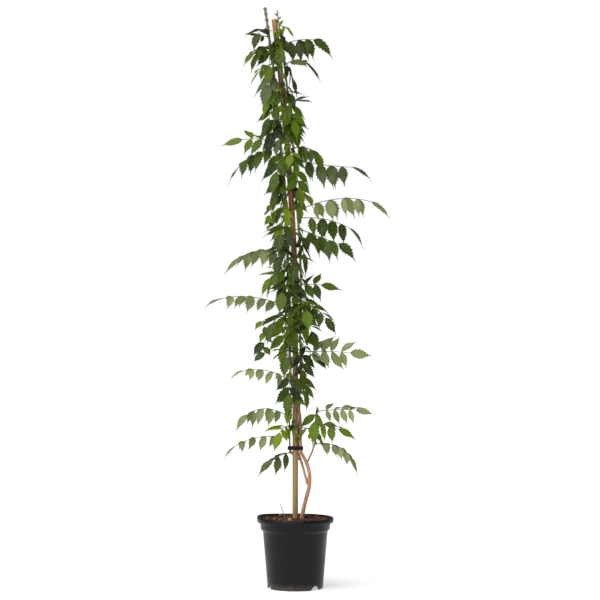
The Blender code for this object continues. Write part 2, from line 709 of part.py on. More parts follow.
def add_leaflet(sheet, foot, rear, front, along, forward, upper, size, width, hang, twist=0.0):
    """Add one leaflet whose first row is the edge from rear to front of the rachis.

    A twist sets its front edge above, or below, the rear edge of the next leaflet.
    """
    flip = 1.0 if np.cross(along, forward).dot(upper) > 0 else -1.0
    point = np.array(foot)
    before = (rear, front)
    last = 0.0
    for share, back, ahead in leaflet_rows(size) + ((1.0, 0.0, 0.0),):
        middle = (share + last) / 2
        heading = along - UP * hang * (0.4 + 0.9 * middle)
        heading /= np.linalg.norm(heading)
        point = point + heading * size * (share - last)
        last = share
        level = forward - heading * forward.dot(heading)
        level /= np.linalg.norm(level)
        above = np.cross(heading, level) * flip
        across = math.cos(twist) * level + math.sin(twist) * above
        normal = math.cos(twist) * above - math.sin(twist) * level
        if share == 1.0:
            tip = sheet.add(point, normal, BLADE_THICKNESS * 0.85)
            face = (before[0], tip, before[1]) if flip > 0 else (before[1], tip, before[0])
            sheet.faces.append(face)
            break
        row = (sheet.add(point - across * width * back, normal, BLADE_THICKNESS),
               sheet.add(point + across * width * ahead, normal, BLADE_THICKNESS))
        if flip > 0:
            sheet.quad(before[0], row[0], row[1], before[1])
        else:
            sheet.quad(before[1], row[1], row[0], before[0])
        before = row


def petiole_share(leaf):
    """Share of the reach before the first pair."""
    return max(PETIOLE_SHARE, PETIOLE_LEAST / leaf.reach)


def rachis_stations(leaf, first):
    """Shares of the reach where the rachis has a cross row, and which of them start a pair."""
    foot = LEAFLET_FOOT / leaf.reach
    petiole = petiole_share(leaf)
    pairs = [petiole + (0.97 - petiole) * k / leaf.pairs for k in range(leaf.pairs)]
    shares = [first] + ([petiole * 0.6] if petiole * 0.5 > first else [])
    starts = []
    for share in pairs:
        starts.append(len(shares))
        shares += [share - foot / 2, share + foot / 2]
    return shares + [1.0], starts


def pair_size(leaf, index):
    """Leaflet length of a pair: the middle pairs are the longest."""
    place = (index + 0.5) / leaf.pairs
    return leaf.size * (0.82 + 0.18 * math.sin(math.pi * place))


def leaf_sheet(leaf, start, first=0.0):
    """The sheet of one pinnate leaf: a narrow rachis with leaflets cut to it on both sides."""
    at = rachis_path(leaf, start)
    sheet = Sheet()
    shares, starts = rachis_stations(leaf, first)
    rows = []
    frames = []
    for share in shares:
        point, tangent = at(share)
        side = leaf_side(leaf, tangent)
        upper = np.cross(side, tangent)
        half = side * RACHIS_WIDTH / 2
        rows.append((sheet.add(point - half, upper, RACHIS_THICKNESS),
                     sheet.add(point + half, upper, RACHIS_THICKNESS)))
        frames.append((point, tangent, side, upper))
    for (left, right), (next_left, next_right) in zip(rows, rows[1:]):
        sheet.quad(left, right, next_right, next_left)
    spacing = leaf.reach * (0.97 - petiole_share(leaf)) / leaf.pairs
    twist = HANGING_TWIST if leaf.droop < HANGING_DROOP else LEAFLET_TWIST
    for index, row in enumerate(starts):
        size = pair_size(leaf, index)
        point = (frames[row][0] + frames[row + 1][0]) / 2
        tangent, side, upper = frames[row][1:]
        for hand, column in ((1.0, 1), (-1.0, 0)):
            along = math.cos(LEAFLET_ANGLE) * tangent + math.sin(LEAFLET_ANGLE) * side * hand
            width = min(size * LEAFLET_WIDTH, LEAFLET_CROWDING * spacing)
            add_leaflet(sheet, point + side * hand * RACHIS_WIDTH / 2, rows[row][column],
                        rows[row + 1][column], along, tangent, upper, size, width, leaf.hang,
                        twist)
    point, tangent, side, upper = frames[-1]
    size = leaf.size * TERMINAL_SCALE
    add_leaflet(sheet, point, rows[-1][0], rows[-1][1], tangent, side, upper, size,
                leaf.size * LEAFLET_WIDTH, leaf.hang * 0.4)
    return sheet


def tree_of(points, faces):
    """Search tree of a solid for the overlap test, in millimetres."""
    return BVHTree.FromPolygons([tuple(p) for p in points], faces, all_triangles=False)


def varied(leaf, attempt):
    """The leaf as it is held at a try: as planned first, then further off, later smaller."""
    amount = math.sqrt(attempt % TRIES_PER_SIZE / TRIES_PER_SIZE)
    swing, tilt, slide = (2 * (attempt * step % 1.0) - 1 for step in TRY_STEPS)
    scale = 1.0 - SHRINK * (attempt // TRIES_PER_SIZE)
    droop = leaf.droop + tilt * TILT * amount
    if leaf.droop < HANGING_DROOP:
        droop = min(droop, HANGING_DROOP - 1.0)
    return leaf._replace(height=leaf.height + slide * SLIDE * amount,
                         bearing=leaf.bearing + swing * SWING * amount,
                         rise=leaf.rise + tilt * TILT * amount, droop=droop,
                         reach=leaf.reach * scale, size=leaf.size * scale)


def clear_leaf(leaf, obstacles):
    """Vary a leaf until its thickened sheet, from just off its stem, meets no obstacle.

    A front leaf may meet leaves of its own vine.
    """
    mine = leaf.vine if leaf in FRONT_LEAVES else ""
    for attempt in range(TRIES):
        held = varied(leaf, attempt)
        if min(abs(held.height - tie) for tie in TIE_HEIGHTS) < TIE_MARGIN:
            continue
        sheet = leaf_sheet(held, stem_at(held.vine, held.height), FREE_FROM_STEM / held.reach)
        points, faces = sheet.solid(CLEARANCE / 2)
        low, high = points.min(axis=0), points.max(axis=0)
        near = [other for other, bottom, top, owner in obstacles
                if owner != mine and np.all(low < top) and np.all(high > bottom)]
        tree = tree_of(points, faces)
        if not any(tree.overlap(other) for other in near):
            obstacles.append((tree, low, high, leaf.vine))
            return held
    return None


def obstacle(points, faces):
    """Search tree of a solid with its lowest and highest corners, and no owner."""
    points = np.asarray(points)
    return tree_of(points, faces), points.min(axis=0), points.max(axis=0), None


def fixed_obstacles():
    """Thickened cane, stems and ties that no leaf may meet."""
    found = []
    for path, radii, sides in stem_tubes():
        found.append(obstacle(*tube(path, np.asarray(radii) + STEM_CLEARANCE, sides)))
    for height, tail in zip(TIE_HEIGHTS, TIE_TAIL_BEARINGS):
        rings = [tie_outline(height + side * TIE_WIDTH * 0.8, tail, TIE_THICKNESS + TIE_CLEARANCE)
                 for side in (-1, 1)]
        faces = [(k, (k + 1) % TIE_SIDES, TIE_SIDES + (k + 1) % TIE_SIDES, TIE_SIDES + k)
                 for k in range(TIE_SIDES)]
        found.append(obstacle(rings[0] + rings[1], faces))
    return found


def stem_tubes():
    """Path, radii and sides of the cane, the wood, the vines and the shoots."""
    yield (*cane_path(), CANE_SIDES)
    yield (*trunk_path(), TRUNK_SIDES)
    yield (*branch_path(), TRUNK_SIDES)
    for vine in (MAIN, SECOND):
        yield (*vine_path(vine, WOOD_TOP, vine.heights[-1]), GREEN_SIDES)
    for name in SHOOTS:
        yield (*shoot_path(name), GREEN_SIDES)


def fill_leaves(draw):
    """Leaves at even heights on each vine by turns, on its own side of the cane."""
    leaves = []
    for number in range(FILL_COUNT):
        height = FILL_TOP + (FILL_BOTTOM - FILL_TOP) * number / (FILL_COUNT - 1)
        vine, side = ("second_vine", 1) if number % 2 else ("main_vine", -1)
        leaves.append(Leaf(vine, height, side * draw.uniform(*FILL_BEARING), draw.uniform(*FILL_REACH),
                           0.0, draw.uniform(*FILL_DROOP), draw.choice(FILL_PAIRS),
                           draw.uniform(*FILL_SIZE), 20.0, 0.15))
    return leaves


def back_leaves(draw):
    """Leaves on the far side, on each vine by turns, with seeded sizes."""
    leaves = []
    for number, (height, bearing) in enumerate(BACK_NODES):
        vine = "second_vine" if number % 2 else "main_vine"
        leaves.append(Leaf(vine, height, bearing, draw.uniform(*BACK_REACH), draw.uniform(*BACK_RISE),
                           draw.uniform(*BACK_DROOP), 2, draw.uniform(*BACK_SIZE), 0.0, 0.6))
    return leaves


def placed_leaves():
    """Every leaf as it is held once it is clear, by the name of its stem."""
    draw = random.Random(SEED)
    planned = list(OUTLINE_LEAVES + COLUMN_LEAVES + FRONT_LEAVES) + back_leaves(draw) + fill_leaves(draw)
    obstacles = fixed_obstacles()
    by_stem = {}
    for leaf in planned:
        held = clear_leaf(leaf, obstacles)
        if held is not None:
            by_stem.setdefault(leaf.vine, []).append(held)
    return by_stem


def make_leafy_stem(name, path, radii, leaves, green):
    """One stem with its leaves, joined in one union."""
    points, faces = tube(path, radii, GREEN_SIDES)
    stem = link_object(name, mesh_from(name, points, faces), green)
    repeats = bpy.data.collections.new(f"{name} leaves")
    bpy.context.scene.collection.children.link(repeats)
    for number, leaf in enumerate(leaves):
        mesh = mesh_from("leaf", *leaf_sheet(leaf, stem_at(leaf.vine, leaf.height)).solid())
        repeats.objects.link(bpy.data.objects.new(f"leaf {number}", mesh))
    apply_boolean(stem, "UNION", collection=repeats)
    bpy.data.collections.remove(repeats)
    stem.data.materials.clear()
    stem.data.materials.append(green)


def make_vines():
    """The two climbing vines and the two low side shoots, each with its leaves."""
    by_stem = placed_leaves()
    green = principled("leaf green", (0.05, 0.10, 0.018), 0.5)
    for vine in (MAIN, SECOND):
        path, radii = vine_path(vine, WOOD_TOP + GAP, vine.heights[-1])
        make_leafy_stem(vine.name, path, radii, by_stem[vine.name], green)
    for name in SHOOTS:
        path, radii = shoot_path(name)
        make_leafy_stem(name, path, radii, by_stem[name], green)


def make_all():
    """Build every piece."""
    clear_scene()
    principled("cutter", (0.5, 0.5, 0.5), 0.5)
    make_pot()
    soil = make_soil()
    make_cane(soil)
    make_woody_stem(soil)
    make_twig(soil)
    make_tag(soil)
    rubber = principled("black rubber", (0.015, 0.015, 0.015), 0.7)
    for number, (height, tail) in enumerate(zip(TIE_HEIGHTS, TIE_TAIL_BEARINGS), start=1):
        make_tie(number, height, tail, rubber)
    make_vines()


make_all()
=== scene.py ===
"""A young trumpet vine tied to a bamboo cane in a nursery pot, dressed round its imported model.

Lengths are millimetres until a mesh is made. +Z is up and the viewer stands at -Y with +X to
the right. A bearing is an angle about +Z in degrees: 0 points at the viewer, 90 to the right
and -90 to the left. The plan of the stems and leaves is that of the part's own source.
"""

import logging
import math
import random
from dataclasses import dataclass, replace
from enum import Enum
from functools import cache
from typing import Any

import bpy
import numpy as np
from mathutils.kdtree import KDTree
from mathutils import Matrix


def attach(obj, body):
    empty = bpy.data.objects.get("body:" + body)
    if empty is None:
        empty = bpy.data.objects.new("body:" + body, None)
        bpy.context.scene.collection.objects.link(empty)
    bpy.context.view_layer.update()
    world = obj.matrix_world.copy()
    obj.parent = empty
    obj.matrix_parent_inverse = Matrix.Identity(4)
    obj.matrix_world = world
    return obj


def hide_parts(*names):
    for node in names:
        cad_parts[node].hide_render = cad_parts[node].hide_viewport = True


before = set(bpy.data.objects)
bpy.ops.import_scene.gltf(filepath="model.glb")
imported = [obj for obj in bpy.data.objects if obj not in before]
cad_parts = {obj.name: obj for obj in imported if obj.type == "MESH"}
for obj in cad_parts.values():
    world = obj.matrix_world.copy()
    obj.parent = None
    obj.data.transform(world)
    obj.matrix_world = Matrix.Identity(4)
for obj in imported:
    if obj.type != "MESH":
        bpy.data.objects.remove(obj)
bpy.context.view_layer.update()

LOG = logging.getLogger("trumpet_vine")
MM = 0.001
SEED = 11
TURN = 2 * math.pi
WHITE = "#FFFFFF"
UP = np.array([0.0, 0.0, 1.0])
Array = np.ndarray
Inputs = dict[Any, Any]
Material = bpy.types.Material
Object = bpy.types.Object
Point = tuple[float, float, float]
Socket = bpy.types.NodeSocket
Stops = tuple[tuple[float, str], ...]
Tree = bpy.types.ShaderNodeTree


# Small tools

def linear(code: str) -> tuple[float, float, float, float]:
    """Turn an sRGB hex colour into linear red, green, blue and a full alpha."""
    channels = [int(code[k:k + 2], 16) / 255.0 for k in (1, 3, 5)]
    return (*(c / 12.92 if c <= 0.04045 else ((c + 0.055) / 1.055) ** 2.4 for c in channels), 1.0)


def feed(node: bpy.types.Node, inputs: Inputs) -> None:
    """Give a shader node's sockets what they read.

    Args:
        node: the node.
        inputs: socket name or number to a value, a hex colour or the socket that feeds it.
    """
    for key, value in inputs.items():
        if isinstance(value, Socket):
            node.id_data.links.new(value, node.inputs[key])
        else:
            node.inputs[key].default_value = linear(value) if isinstance(value, str) else value


def add_node(tree: Tree, kind: str, inputs: Inputs | None = None, output: int | str = 0,
             stops: Stops = (), **settings: Any) -> Socket:
    """Add one shader node.

    Args:
        tree: the node tree of a material or of the world.
        kind: Blender's name of the node's type.
        inputs: what its sockets read, as in feed.
        output: name or number of the wanted output.
        stops: places and colours of a colour ramp.
        **settings: the node's own properties.

    Returns:
        The output socket.
    """
    node = tree.nodes.new(kind)
    for name, value in settings.items():
        setattr(node, name, value)
    feed(node, inputs or {})
    for number, (place, colour) in enumerate(stops):
        elements = node.color_ramp.elements
        element = elements[number] if number < 2 else elements.new(place)
        element.position, element.color = place, linear(colour)
    return node.outputs[output]


def put(name: str, data: Any) -> Object:
    """Put a mesh, a lamp or a camera into the scene as a new object.

    Args:
        name: the object's name.
        data: what it holds.

    Returns:
        The object.
    """
    item = bpy.data.objects.new(name, data)
    bpy.context.scene.collection.objects.link(item)
    return item


def unit(vectors: Array) -> Array:
    """Scale vectors, held along the last axis, to length one."""
    return vectors / np.linalg.norm(vectors, axis=-1, keepdims=True)


def joined(*coordinates: Any) -> Array:
    """Spread coordinates to one shape and stack them along a new last axis."""
    return np.stack(np.broadcast_arrays(*coordinates), axis=-1)


def direction(bearing: Array | float) -> Array:
    """Horizontal unit vectors of bearings in degrees."""
    angle = np.radians(bearing)
    return joined(np.sin(angle), -np.cos(angle), 0.0)


def angles(count: int, offset: float = 0.0) -> Array:
    """Even angles round a circle, set on by a share of their spacing."""
    return TURN * (np.arange(count) + offset) / count


def circle(angle: Array, side: Array, other: Array) -> Array:
    """Unit vectors that an angle turns from one axis to the other, in a row for each pair of axes."""
    return np.cos(angle)[:, None] * side[..., None, :] + np.sin(angle)[:, None] * other[..., None, :]


def bell(away: Array, width: float) -> Array:
    """Bell curve: e to minus the square of away over width."""
    return np.exp(-(away / width) ** 2)


def smoothstep(share: Array) -> Array:
    """Ease from 0 to 1 by three squares less two cubes."""
    return share * share * (3 - 2 * share)


def smooth_path(points: Any, steps: int) -> Array:
    """Carry a Catmull-Rom curve through points.

    Each span blends its two ends and their neighbours by cubic weights in t.

    Args:
        points: the points, at least two.
        steps: samples in each span.

    Returns:
        Points of the curve, the last one included.
    """
    points = np.asarray(points, float)
    ends = np.vstack([2 * points[0] - points[1], points, 2 * points[-1] - points[-2]])
    a, b, c, d = (ends[k:len(ends) - 3 + k, None, :] for k in range(4))
    t = (np.arange(steps) / steps)[None, :, None]
    curve = 0.5 * (2 * b + (c - a) * t + (2 * a - 5 * b + 4 * c - d) * t ** 2
                   + (3 * b - a - 3 * c + d) * t ** 3)
    return np.vstack([curve.reshape(-1, 3), points[-1:]])


def value_noise(x: Array, y: Array, seed: int, size: int = 64) -> Array:
    """Smooth random hills: lattice values blended by a smoothstep in both directions.

    Args:
        x: first coordinate, one unit a hill.
        y: second coordinate.
        seed: chooses the lattice.
        size: hills before the lattice repeats.

    Returns:
        Heights from -1 to 1 in the shape of x.
    """
    lattice = np.random.default_rng(seed).uniform(-1.0, 1.0, (size, size))
    column, row = np.floor(x).astype(int), np.floor(y).astype(int)
    u, v = smoothstep(x - column), smoothstep(y - row)
    corners = [[lattice[(column + dx) % size, (row + dy) % size] for dx in (0, 1)] for dy in (0, 1)]
    low, high = (left * (1 - u) + right * u for left, right in corners)
    return low * (1 - v) + high * v


def egg(rings: int, sides: int) -> Array:
    """Points of a ball round its first axis, without the poles: (ring, point, 3)."""
    polar = np.linspace(0.0, math.pi, rings + 2)[1:-1, None]
    return joined(np.cos(polar), np.sin(polar) * np.cos(angles(sides)), np.sin(polar) * np.sin(angles(sides)))


# Finishes

@dataclass(frozen=True)
class Finish:
    """A finish, by the name of its real material and its making."""

    name: str

    def sockets(self, tree: Tree) -> Inputs:
        """Work out what the shader's sockets read; each finish has its own way."""
        raise NotImplementedError

    @cache
    def make(self) -> Material:
        """Build the material, once for all the pieces that wear it.

        Returns:
            The material.
        """
        material = bpy.data.materials.new(self.name)
        material.use_nodes = True
        tree = material.node_tree
        feed(tree.nodes["Principled BSDF"], self.sockets(tree))
        return material


@dataclass(frozen=True)
class LeafFace(Finish):
    """Living leaf, grown: a waxy skin over green tissue with a sunk net of veins.

    The eye gets soft gloss on the upper face, a paler matt lower face, light veins and
    leaflets that all differ a little.
    """

    deep: str
    garden: str
    fresh: str
    # painted sheen: the next two colours are a grey-green ramp that stands in for the sheen of light on
    # leaves
    sheen_low: str
    sheen_high: str
    young: str
    vein: str
    roughness: float
    vein_height: float
    vein_spacing: float = 0.148
    vein_slant: float = 0.296

    def sockets(self, tree: Tree) -> Inputs:
        """Colour the leaf by its tint and draw its veins in its own UV.

        Tint red is lightness. Tint green runs from a grey green that is painted sheen, over green, to young
        yellow green.

        Args:
            tree: the material's nodes.

        Returns:
            What the shader's sockets read.
        """
        uv = add_node(tree, "ShaderNodeUVMap", uv_map="blade")
        along, across = (add_node(tree, "ShaderNodeSeparateXYZ", {0: uv}, axis) for axis in (0, 1))
        tint = add_node(tree, "ShaderNodeAttribute", attribute_name="tint")
        light, hue = (add_node(tree, "ShaderNodeSeparateColor", {0: tint}, channel) for channel in (0, 1))
        spot = add_node(tree, "ShaderNodeTexCoord", output="Object")
        # blotches of 12 mm, about a third of a leaflet
        cloud = add_node(tree, "ShaderNodeTexNoise", {"Vector": spot, "Scale": 80.0, "Detail": 3.0})
        light = add_node(tree, "ShaderNodeMath", {0: cloud, 1: 0.5, 2: light}, operation="MULTIPLY_ADD")
        light = add_node(tree, "ShaderNodeMath", {0: light, 1: 0.25}, operation="SUBTRACT")
        green = add_node(tree, "ShaderNodeValToRGB", {0: light},
                         stops=((0.0, self.deep), (1.0, self.fresh), (0.5, self.garden)))
        # painted sheen: leaflets with a low tint green take this grey-green ramp in place of real sheen
        sheen_ramp = add_node(tree, "ShaderNodeValToRGB", {0: light},
                        stops=((0.0, self.sheen_low), (1.0, self.sheen_high)))
        is_sheen = add_node(tree, "ShaderNodeMapRange", {0: hue, 1: 0.5, 2: 0.0})
        is_young = add_node(tree, "ShaderNodeMapRange", {0: hue, 1: 0.5, 2: 1.0})
        colour = add_node(tree, "ShaderNodeMix", {0: is_sheen, 6: green, 7: sheen_ramp}, 2, data_type="RGBA")
        colour = add_node(tree, "ShaderNodeMix", {0: is_young, 6: colour, 7: self.young}, 2, data_type="RGBA")
        # midrib 0.8 mm wide; side veins slant on to the next tooth
        off = add_node(tree, "ShaderNodeMath", {0: across, 1: 0.5}, operation="SUBTRACT")
        off = add_node(tree, "ShaderNodeMath", {0: off}, operation="ABSOLUTE")
        midrib = add_node(tree, "ShaderNodeMapRange", {0: off, 1: 0.035, 2: 0.012},
                          interpolation_type="SMOOTHSTEP")
        wave = add_node(tree, "ShaderNodeMath", {0: off, 1: -self.vein_slant, 2: along},
                        operation="MULTIPLY_ADD")
        wave = add_node(tree, "ShaderNodeMath", {0: wave, 1: 0.012}, operation="SUBTRACT")
        spacing = self.vein_spacing
        wave = add_node(tree, "ShaderNodeMath", {0: wave, 1: spacing}, operation="PINGPONG")
        veins = add_node(tree, "ShaderNodeMapRange", {0: wave, 1: spacing - 0.023, 2: spacing - 0.002},
                         interpolation_type="SMOOTHSTEP")
        veins = add_node(tree, "ShaderNodeMath", {0: midrib, 1: veins}, operation="MAXIMUM")
        faint = add_node(tree, "ShaderNodeMath", {0: veins, 1: 0.26}, operation="MULTIPLY")
        colour = add_node(tree, "ShaderNodeMix", {0: faint, 6: colour, 7: self.vein}, 2, data_type="RGBA")
        # the net between the veins has meshes of 1.5 mm
        net = add_node(tree, "ShaderNodeTexVoronoi", {"Vector": spot, "Scale": 650.0}, "Distance",
                       feature="DISTANCE_TO_EDGE")
        height = add_node(tree, "ShaderNodeMath", {0: veins, 1: self.vein_height, 2: net},
                          operation="MULTIPLY_ADD")
        bump = add_node(tree, "ShaderNodeBump", {"Height": height, "Strength": 0.35, "Distance": 0.0004})
        return {"Base Color": colour, "Normal": bump, "Roughness": self.roughness, "IOR": 1.45,
                "Specular IOR Level": 0.2, "Subsurface Weight": 0.15,
                "Subsurface Radius": (0.5, 1.0, 0.15), "Subsurface Scale": 0.0015}


@dataclass(frozen=True)
class GreenShoot(Finish):
    """Green stem and leaf stalk, grown: smooth skin that browns towards the old wood.

    The eye gets a soft sheen, fine lengthwise streaks and brown stems low down.
    """

    name: str = "grown green stem"
    old: str = "#7A5A3C"
    green: str = "#4C5B30"
    pale: str = "#7E8A58"
    twining: str = "#A6B06E"
    brown_below: float = 0.30
    green_above: float = 0.46

    def sockets(self, tree: Tree) -> Inputs:
        """Streak the skin and brown it low down; tint red over a half marks a pale twining shoot.

        Args:
            tree: the material's nodes.

        Returns:
            What the shader's sockets read.
        """
        tint = add_node(tree, "ShaderNodeAttribute", attribute_name="tint")
        shade = add_node(tree, "ShaderNodeSeparateColor", {0: tint})
        twining = add_node(tree, "ShaderNodeMapRange", {0: shade, 1: 0.5, 2: 1.0})
        spot = add_node(tree, "ShaderNodeTexCoord", output="Object")
        height = add_node(tree, "ShaderNodeSeparateXYZ", {0: spot}, 2)
        # streaks 1.5 mm wide and 20 mm long
        long = add_node(tree, "ShaderNodeMapping", {"Vector": spot, "Scale": (650.0, 650.0, 50.0)})
        streak = add_node(tree, "ShaderNodeTexNoise", {"Vector": long, "Scale": 1.0, "Detail": 2.0})
        age = add_node(tree, "ShaderNodeMath", {0: streak, 1: 0.12, 2: height}, operation="MULTIPLY_ADD")
        age = add_node(tree, "ShaderNodeMapRange",
                       {0: age, 1: self.green_above + 0.06, 2: self.brown_below + 0.06})
        skin = add_node(tree, "ShaderNodeValToRGB", {0: streak}, stops=((0.3, self.green), (0.75, self.pale)))
        colour = add_node(tree, "ShaderNodeMix", {0: age, 6: skin, 7: self.old}, 2, data_type="RGBA")
        colour = add_node(tree, "ShaderNodeMix", {0: twining, 6: colour, 7: self.twining}, 2,
                          data_type="RGBA")
        bump = add_node(tree, "ShaderNodeBump", {"Height": streak, "Strength": 0.4, "Distance": 0.0003})
        return {"Base Color": colour, "Normal": bump, "Roughness": 0.5}


@dataclass(frozen=True)
class Bark(Finish):
    """Young bark, grown: thin flaky cork with lengthwise cracks.

    The eye gets a matt pinkish tan broken by darker cracks and pale scars.
    """

    low: str
    high: str
    crack: str
    across: float = 520.0
    along: float = 70.0
    roughness: float = 0.82

    def sockets(self, tree: Tree) -> Inputs:
        """Shade the bark in patches; cracks are about 2 mm apart and 15 mm long.

        Args:
            tree: the material's nodes.

        Returns:
            What the shader's sockets read.
        """
        spot = add_node(tree, "ShaderNodeTexCoord", output="Object")
        long = add_node(tree, "ShaderNodeMapping",
                        {"Vector": spot, "Scale": (self.across, self.across, self.along)})
        grain = add_node(tree, "ShaderNodeTexNoise",
                         {"Vector": long, "Scale": 1.0, "Detail": 5.0, "Roughness": 0.62})
        patch = add_node(tree, "ShaderNodeTexNoise", {"Vector": spot, "Scale": 55.0, "Detail": 2.0})
        base = add_node(tree, "ShaderNodeValToRGB", {0: patch}, stops=((0.35, self.low), (0.68, self.high)))
        split = add_node(tree, "ShaderNodeMapRange", {0: grain, 1: 0.46, 2: 0.36})
        colour = add_node(tree, "ShaderNodeMix", {0: split, 6: base, 7: self.crack}, 2, data_type="RGBA")
        bump = add_node(tree, "ShaderNodeBump", {"Height": grain, "Strength": 0.7, "Distance": 0.0006})
        return {"Base Color": colour, "Normal": bump, "Roughness": self.roughness}


@dataclass(frozen=True)
class Bamboo(Finish):
    """Dried bamboo culm, grown: a hard silica skin over straight fibres.

    The eye gets a satin tan that reddens in the middle, fine lengthwise lines and grey specks, and high up a
    painted highlight band and bands of painted leaf shade.
    """

    name: str = "dried bamboo culm"
    length: float = 1.1
    # painted light: the bright band at 0.80 is a painted highlight, and the dark bands at 0.86 and 0.93 are
    # painted shade of the leaves
    shades_with_painted_light: Stops = ((0.12, "#977A45"), (0.40, "#8E7446"), (0.57, "#80603A"), (0.61, "#935639"),
                     (0.69, "#8E5033"), (0.74, "#936B42"), (0.80, "#B8864A"), (0.86, "#7E5036"),
                     (0.93, "#82563A"), (0.97, "#A2784C"))
    fibre_dark: str = "#54422A"
    speck: str = "#4A3B2A"

    def sockets(self, tree: Tree) -> Inputs:
        """Colour the culm by its height, a painted highlight and painted leaf shade included; the fibres are
        0.8 mm apart and some 60 mm long.

        Args:
            tree: the material's nodes.

        Returns:
            What the shader's sockets read.
        """
        spot = add_node(tree, "ShaderNodeTexCoord", output="Object")
        height = add_node(tree, "ShaderNodeSeparateXYZ", {0: spot}, 2)
        long = add_node(tree, "ShaderNodeMapping", {"Vector": spot, "Scale": (1200.0, 1200.0, 16.0)})
        fibre = add_node(tree, "ShaderNodeTexNoise", {"Vector": long, "Scale": 1.0, "Detail": 3.0})
        patch = add_node(tree, "ShaderNodeTexNoise", {"Vector": spot, "Scale": 28.0, "Detail": 3.0})
        # the edges between the shades wander by 30 mm
        place = add_node(tree, "ShaderNodeMath", {0: height, 1: self.length}, operation="DIVIDE")
        place = add_node(tree, "ShaderNodeMath", {0: patch, 1: 0.06, 2: place}, operation="MULTIPLY_ADD")
        place = add_node(tree, "ShaderNodeMath", {0: place, 1: 0.03}, operation="SUBTRACT")
        base = add_node(tree, "ShaderNodeValToRGB", {0: place}, stops=self.shades_with_painted_light)
        lines = add_node(tree, "ShaderNodeMapRange", {0: fibre, 1: 0.56, 2: 0.34, 4: 0.5})
        colour = add_node(tree, "ShaderNodeMix", {0: lines, 6: base, 7: self.fibre_dark}, 2, data_type="RGBA")
        # grey weather specks of 1 to 2 mm in patches
        fine = add_node(tree, "ShaderNodeTexNoise", {"Vector": spot, "Scale": 420.0, "Detail": 2.0})
        dots = add_node(tree, "ShaderNodeMath", {0: fine, 1: patch}, operation="MULTIPLY")
        dots = add_node(tree, "ShaderNodeMapRange", {0: dots, 1: 0.33, 2: 0.42, 4: 0.55})
        colour = add_node(tree, "ShaderNodeMix", {0: dots, 6: colour, 7: self.speck}, 2, data_type="RGBA")
        bump = add_node(tree, "ShaderNodeBump", {"Height": fibre, "Strength": 0.25, "Distance": 0.0003})
        return {"Base Color": colour, "Normal": bump, "Roughness": 0.46}


@dataclass(frozen=True)
class Loose(Finish):
    """Loose bark and peat, chopped and damp: every bit has a shade of its own.

    The eye gets matt dark red brown with tan chips between.
    """

    dark: str
    middle: str
    light: str
    grain: float

    def sockets(self, tree: Tree) -> Inputs:
        """Pick a bit's shade by tint red, and mottle it with the grain.

        Args:
            tree: the material's nodes.

        Returns:
            What the shader's sockets read.
        """
        tint = add_node(tree, "ShaderNodeAttribute", attribute_name="tint")
        shade = add_node(tree, "ShaderNodeSeparateColor", {0: tint})
        spot = add_node(tree, "ShaderNodeTexCoord", output="Object")
        grain = add_node(tree, "ShaderNodeTexNoise", {"Vector": spot, "Scale": self.grain, "Detail": 4.0})
        mixed = add_node(tree, "ShaderNodeMath", {0: grain, 1: 0.7, 2: shade}, operation="MULTIPLY_ADD")
        mixed = add_node(tree, "ShaderNodeMath", {0: mixed, 1: 0.35}, operation="SUBTRACT")
        colour = add_node(tree, "ShaderNodeValToRGB", {0: mixed},
                          stops=((0.1, self.dark), (0.95, self.light), (0.6, self.middle)))
        bump = add_node(tree, "ShaderNodeBump", {"Height": grain, "Strength": 0.8, "Distance": 0.001})
        return {"Base Color": colour, "Normal": bump, "Roughness": 0.92}


@dataclass(frozen=True)
class BlackPlastic(Finish):
    """Black polyolefin, injection moulded: near black with a soft, slightly uneven gloss.

    The eye gets a dark body whose edges pick up broad grey light, with faint dust.
    """

    body: str = "#050506"
    dust: str = "#151413"
    splash: str = "#57504A"
    roughness: float = 0.33

    def sockets(self, tree: Tree) -> Inputs:
        """Dust it in clouds of 30 mm and splash it up to 14 mm; the grain is 1.5 mm.

        Args:
            tree: the material's nodes.

        Returns:
            What the shader's sockets read.
        """
        spot = add_node(tree, "ShaderNodeTexCoord", output="Object")
        cloud = add_node(tree, "ShaderNodeTexNoise", {"Vector": spot, "Scale": 33.0, "Detail": 6.0})
        film = add_node(tree, "ShaderNodeMapRange", {0: cloud, 1: 0.45, 2: 0.85, 4: 0.6})
        colour = add_node(tree, "ShaderNodeMix", {0: film, 6: self.body, 7: self.dust}, 2, data_type="RGBA")
        height = add_node(tree, "ShaderNodeSeparateXYZ", {0: spot}, 2)
        low = add_node(tree, "ShaderNodeMapRange", {0: height, 1: 0.014, 2: 0.002})
        fleck = add_node(tree, "ShaderNodeTexNoise", {"Vector": spot, "Scale": 160.0, "Detail": 5.0})
        low = add_node(tree, "ShaderNodeMath", {0: low, 1: fleck}, operation="MULTIPLY")
        colour = add_node(tree, "ShaderNodeMix", {0: low, 6: colour, 7: self.splash}, 2, data_type="RGBA")
        rough = add_node(tree, "ShaderNodeMapRange", {0: cloud, 1: 0.3, 2: 0.8, 3: self.roughness - 0.06,
                                            4: self.roughness + 0.16})
        grain = add_node(tree, "ShaderNodeTexNoise", {"Vector": spot, "Scale": 700.0, "Detail": 2.0})
        bump = add_node(tree, "ShaderNodeBump", {"Height": grain, "Strength": 0.12, "Distance": 0.0003})
        return {"Base Color": colour, "Roughness": rough, "Normal": bump, "IOR": 1.49,
                "Specular IOR Level": 0.22}


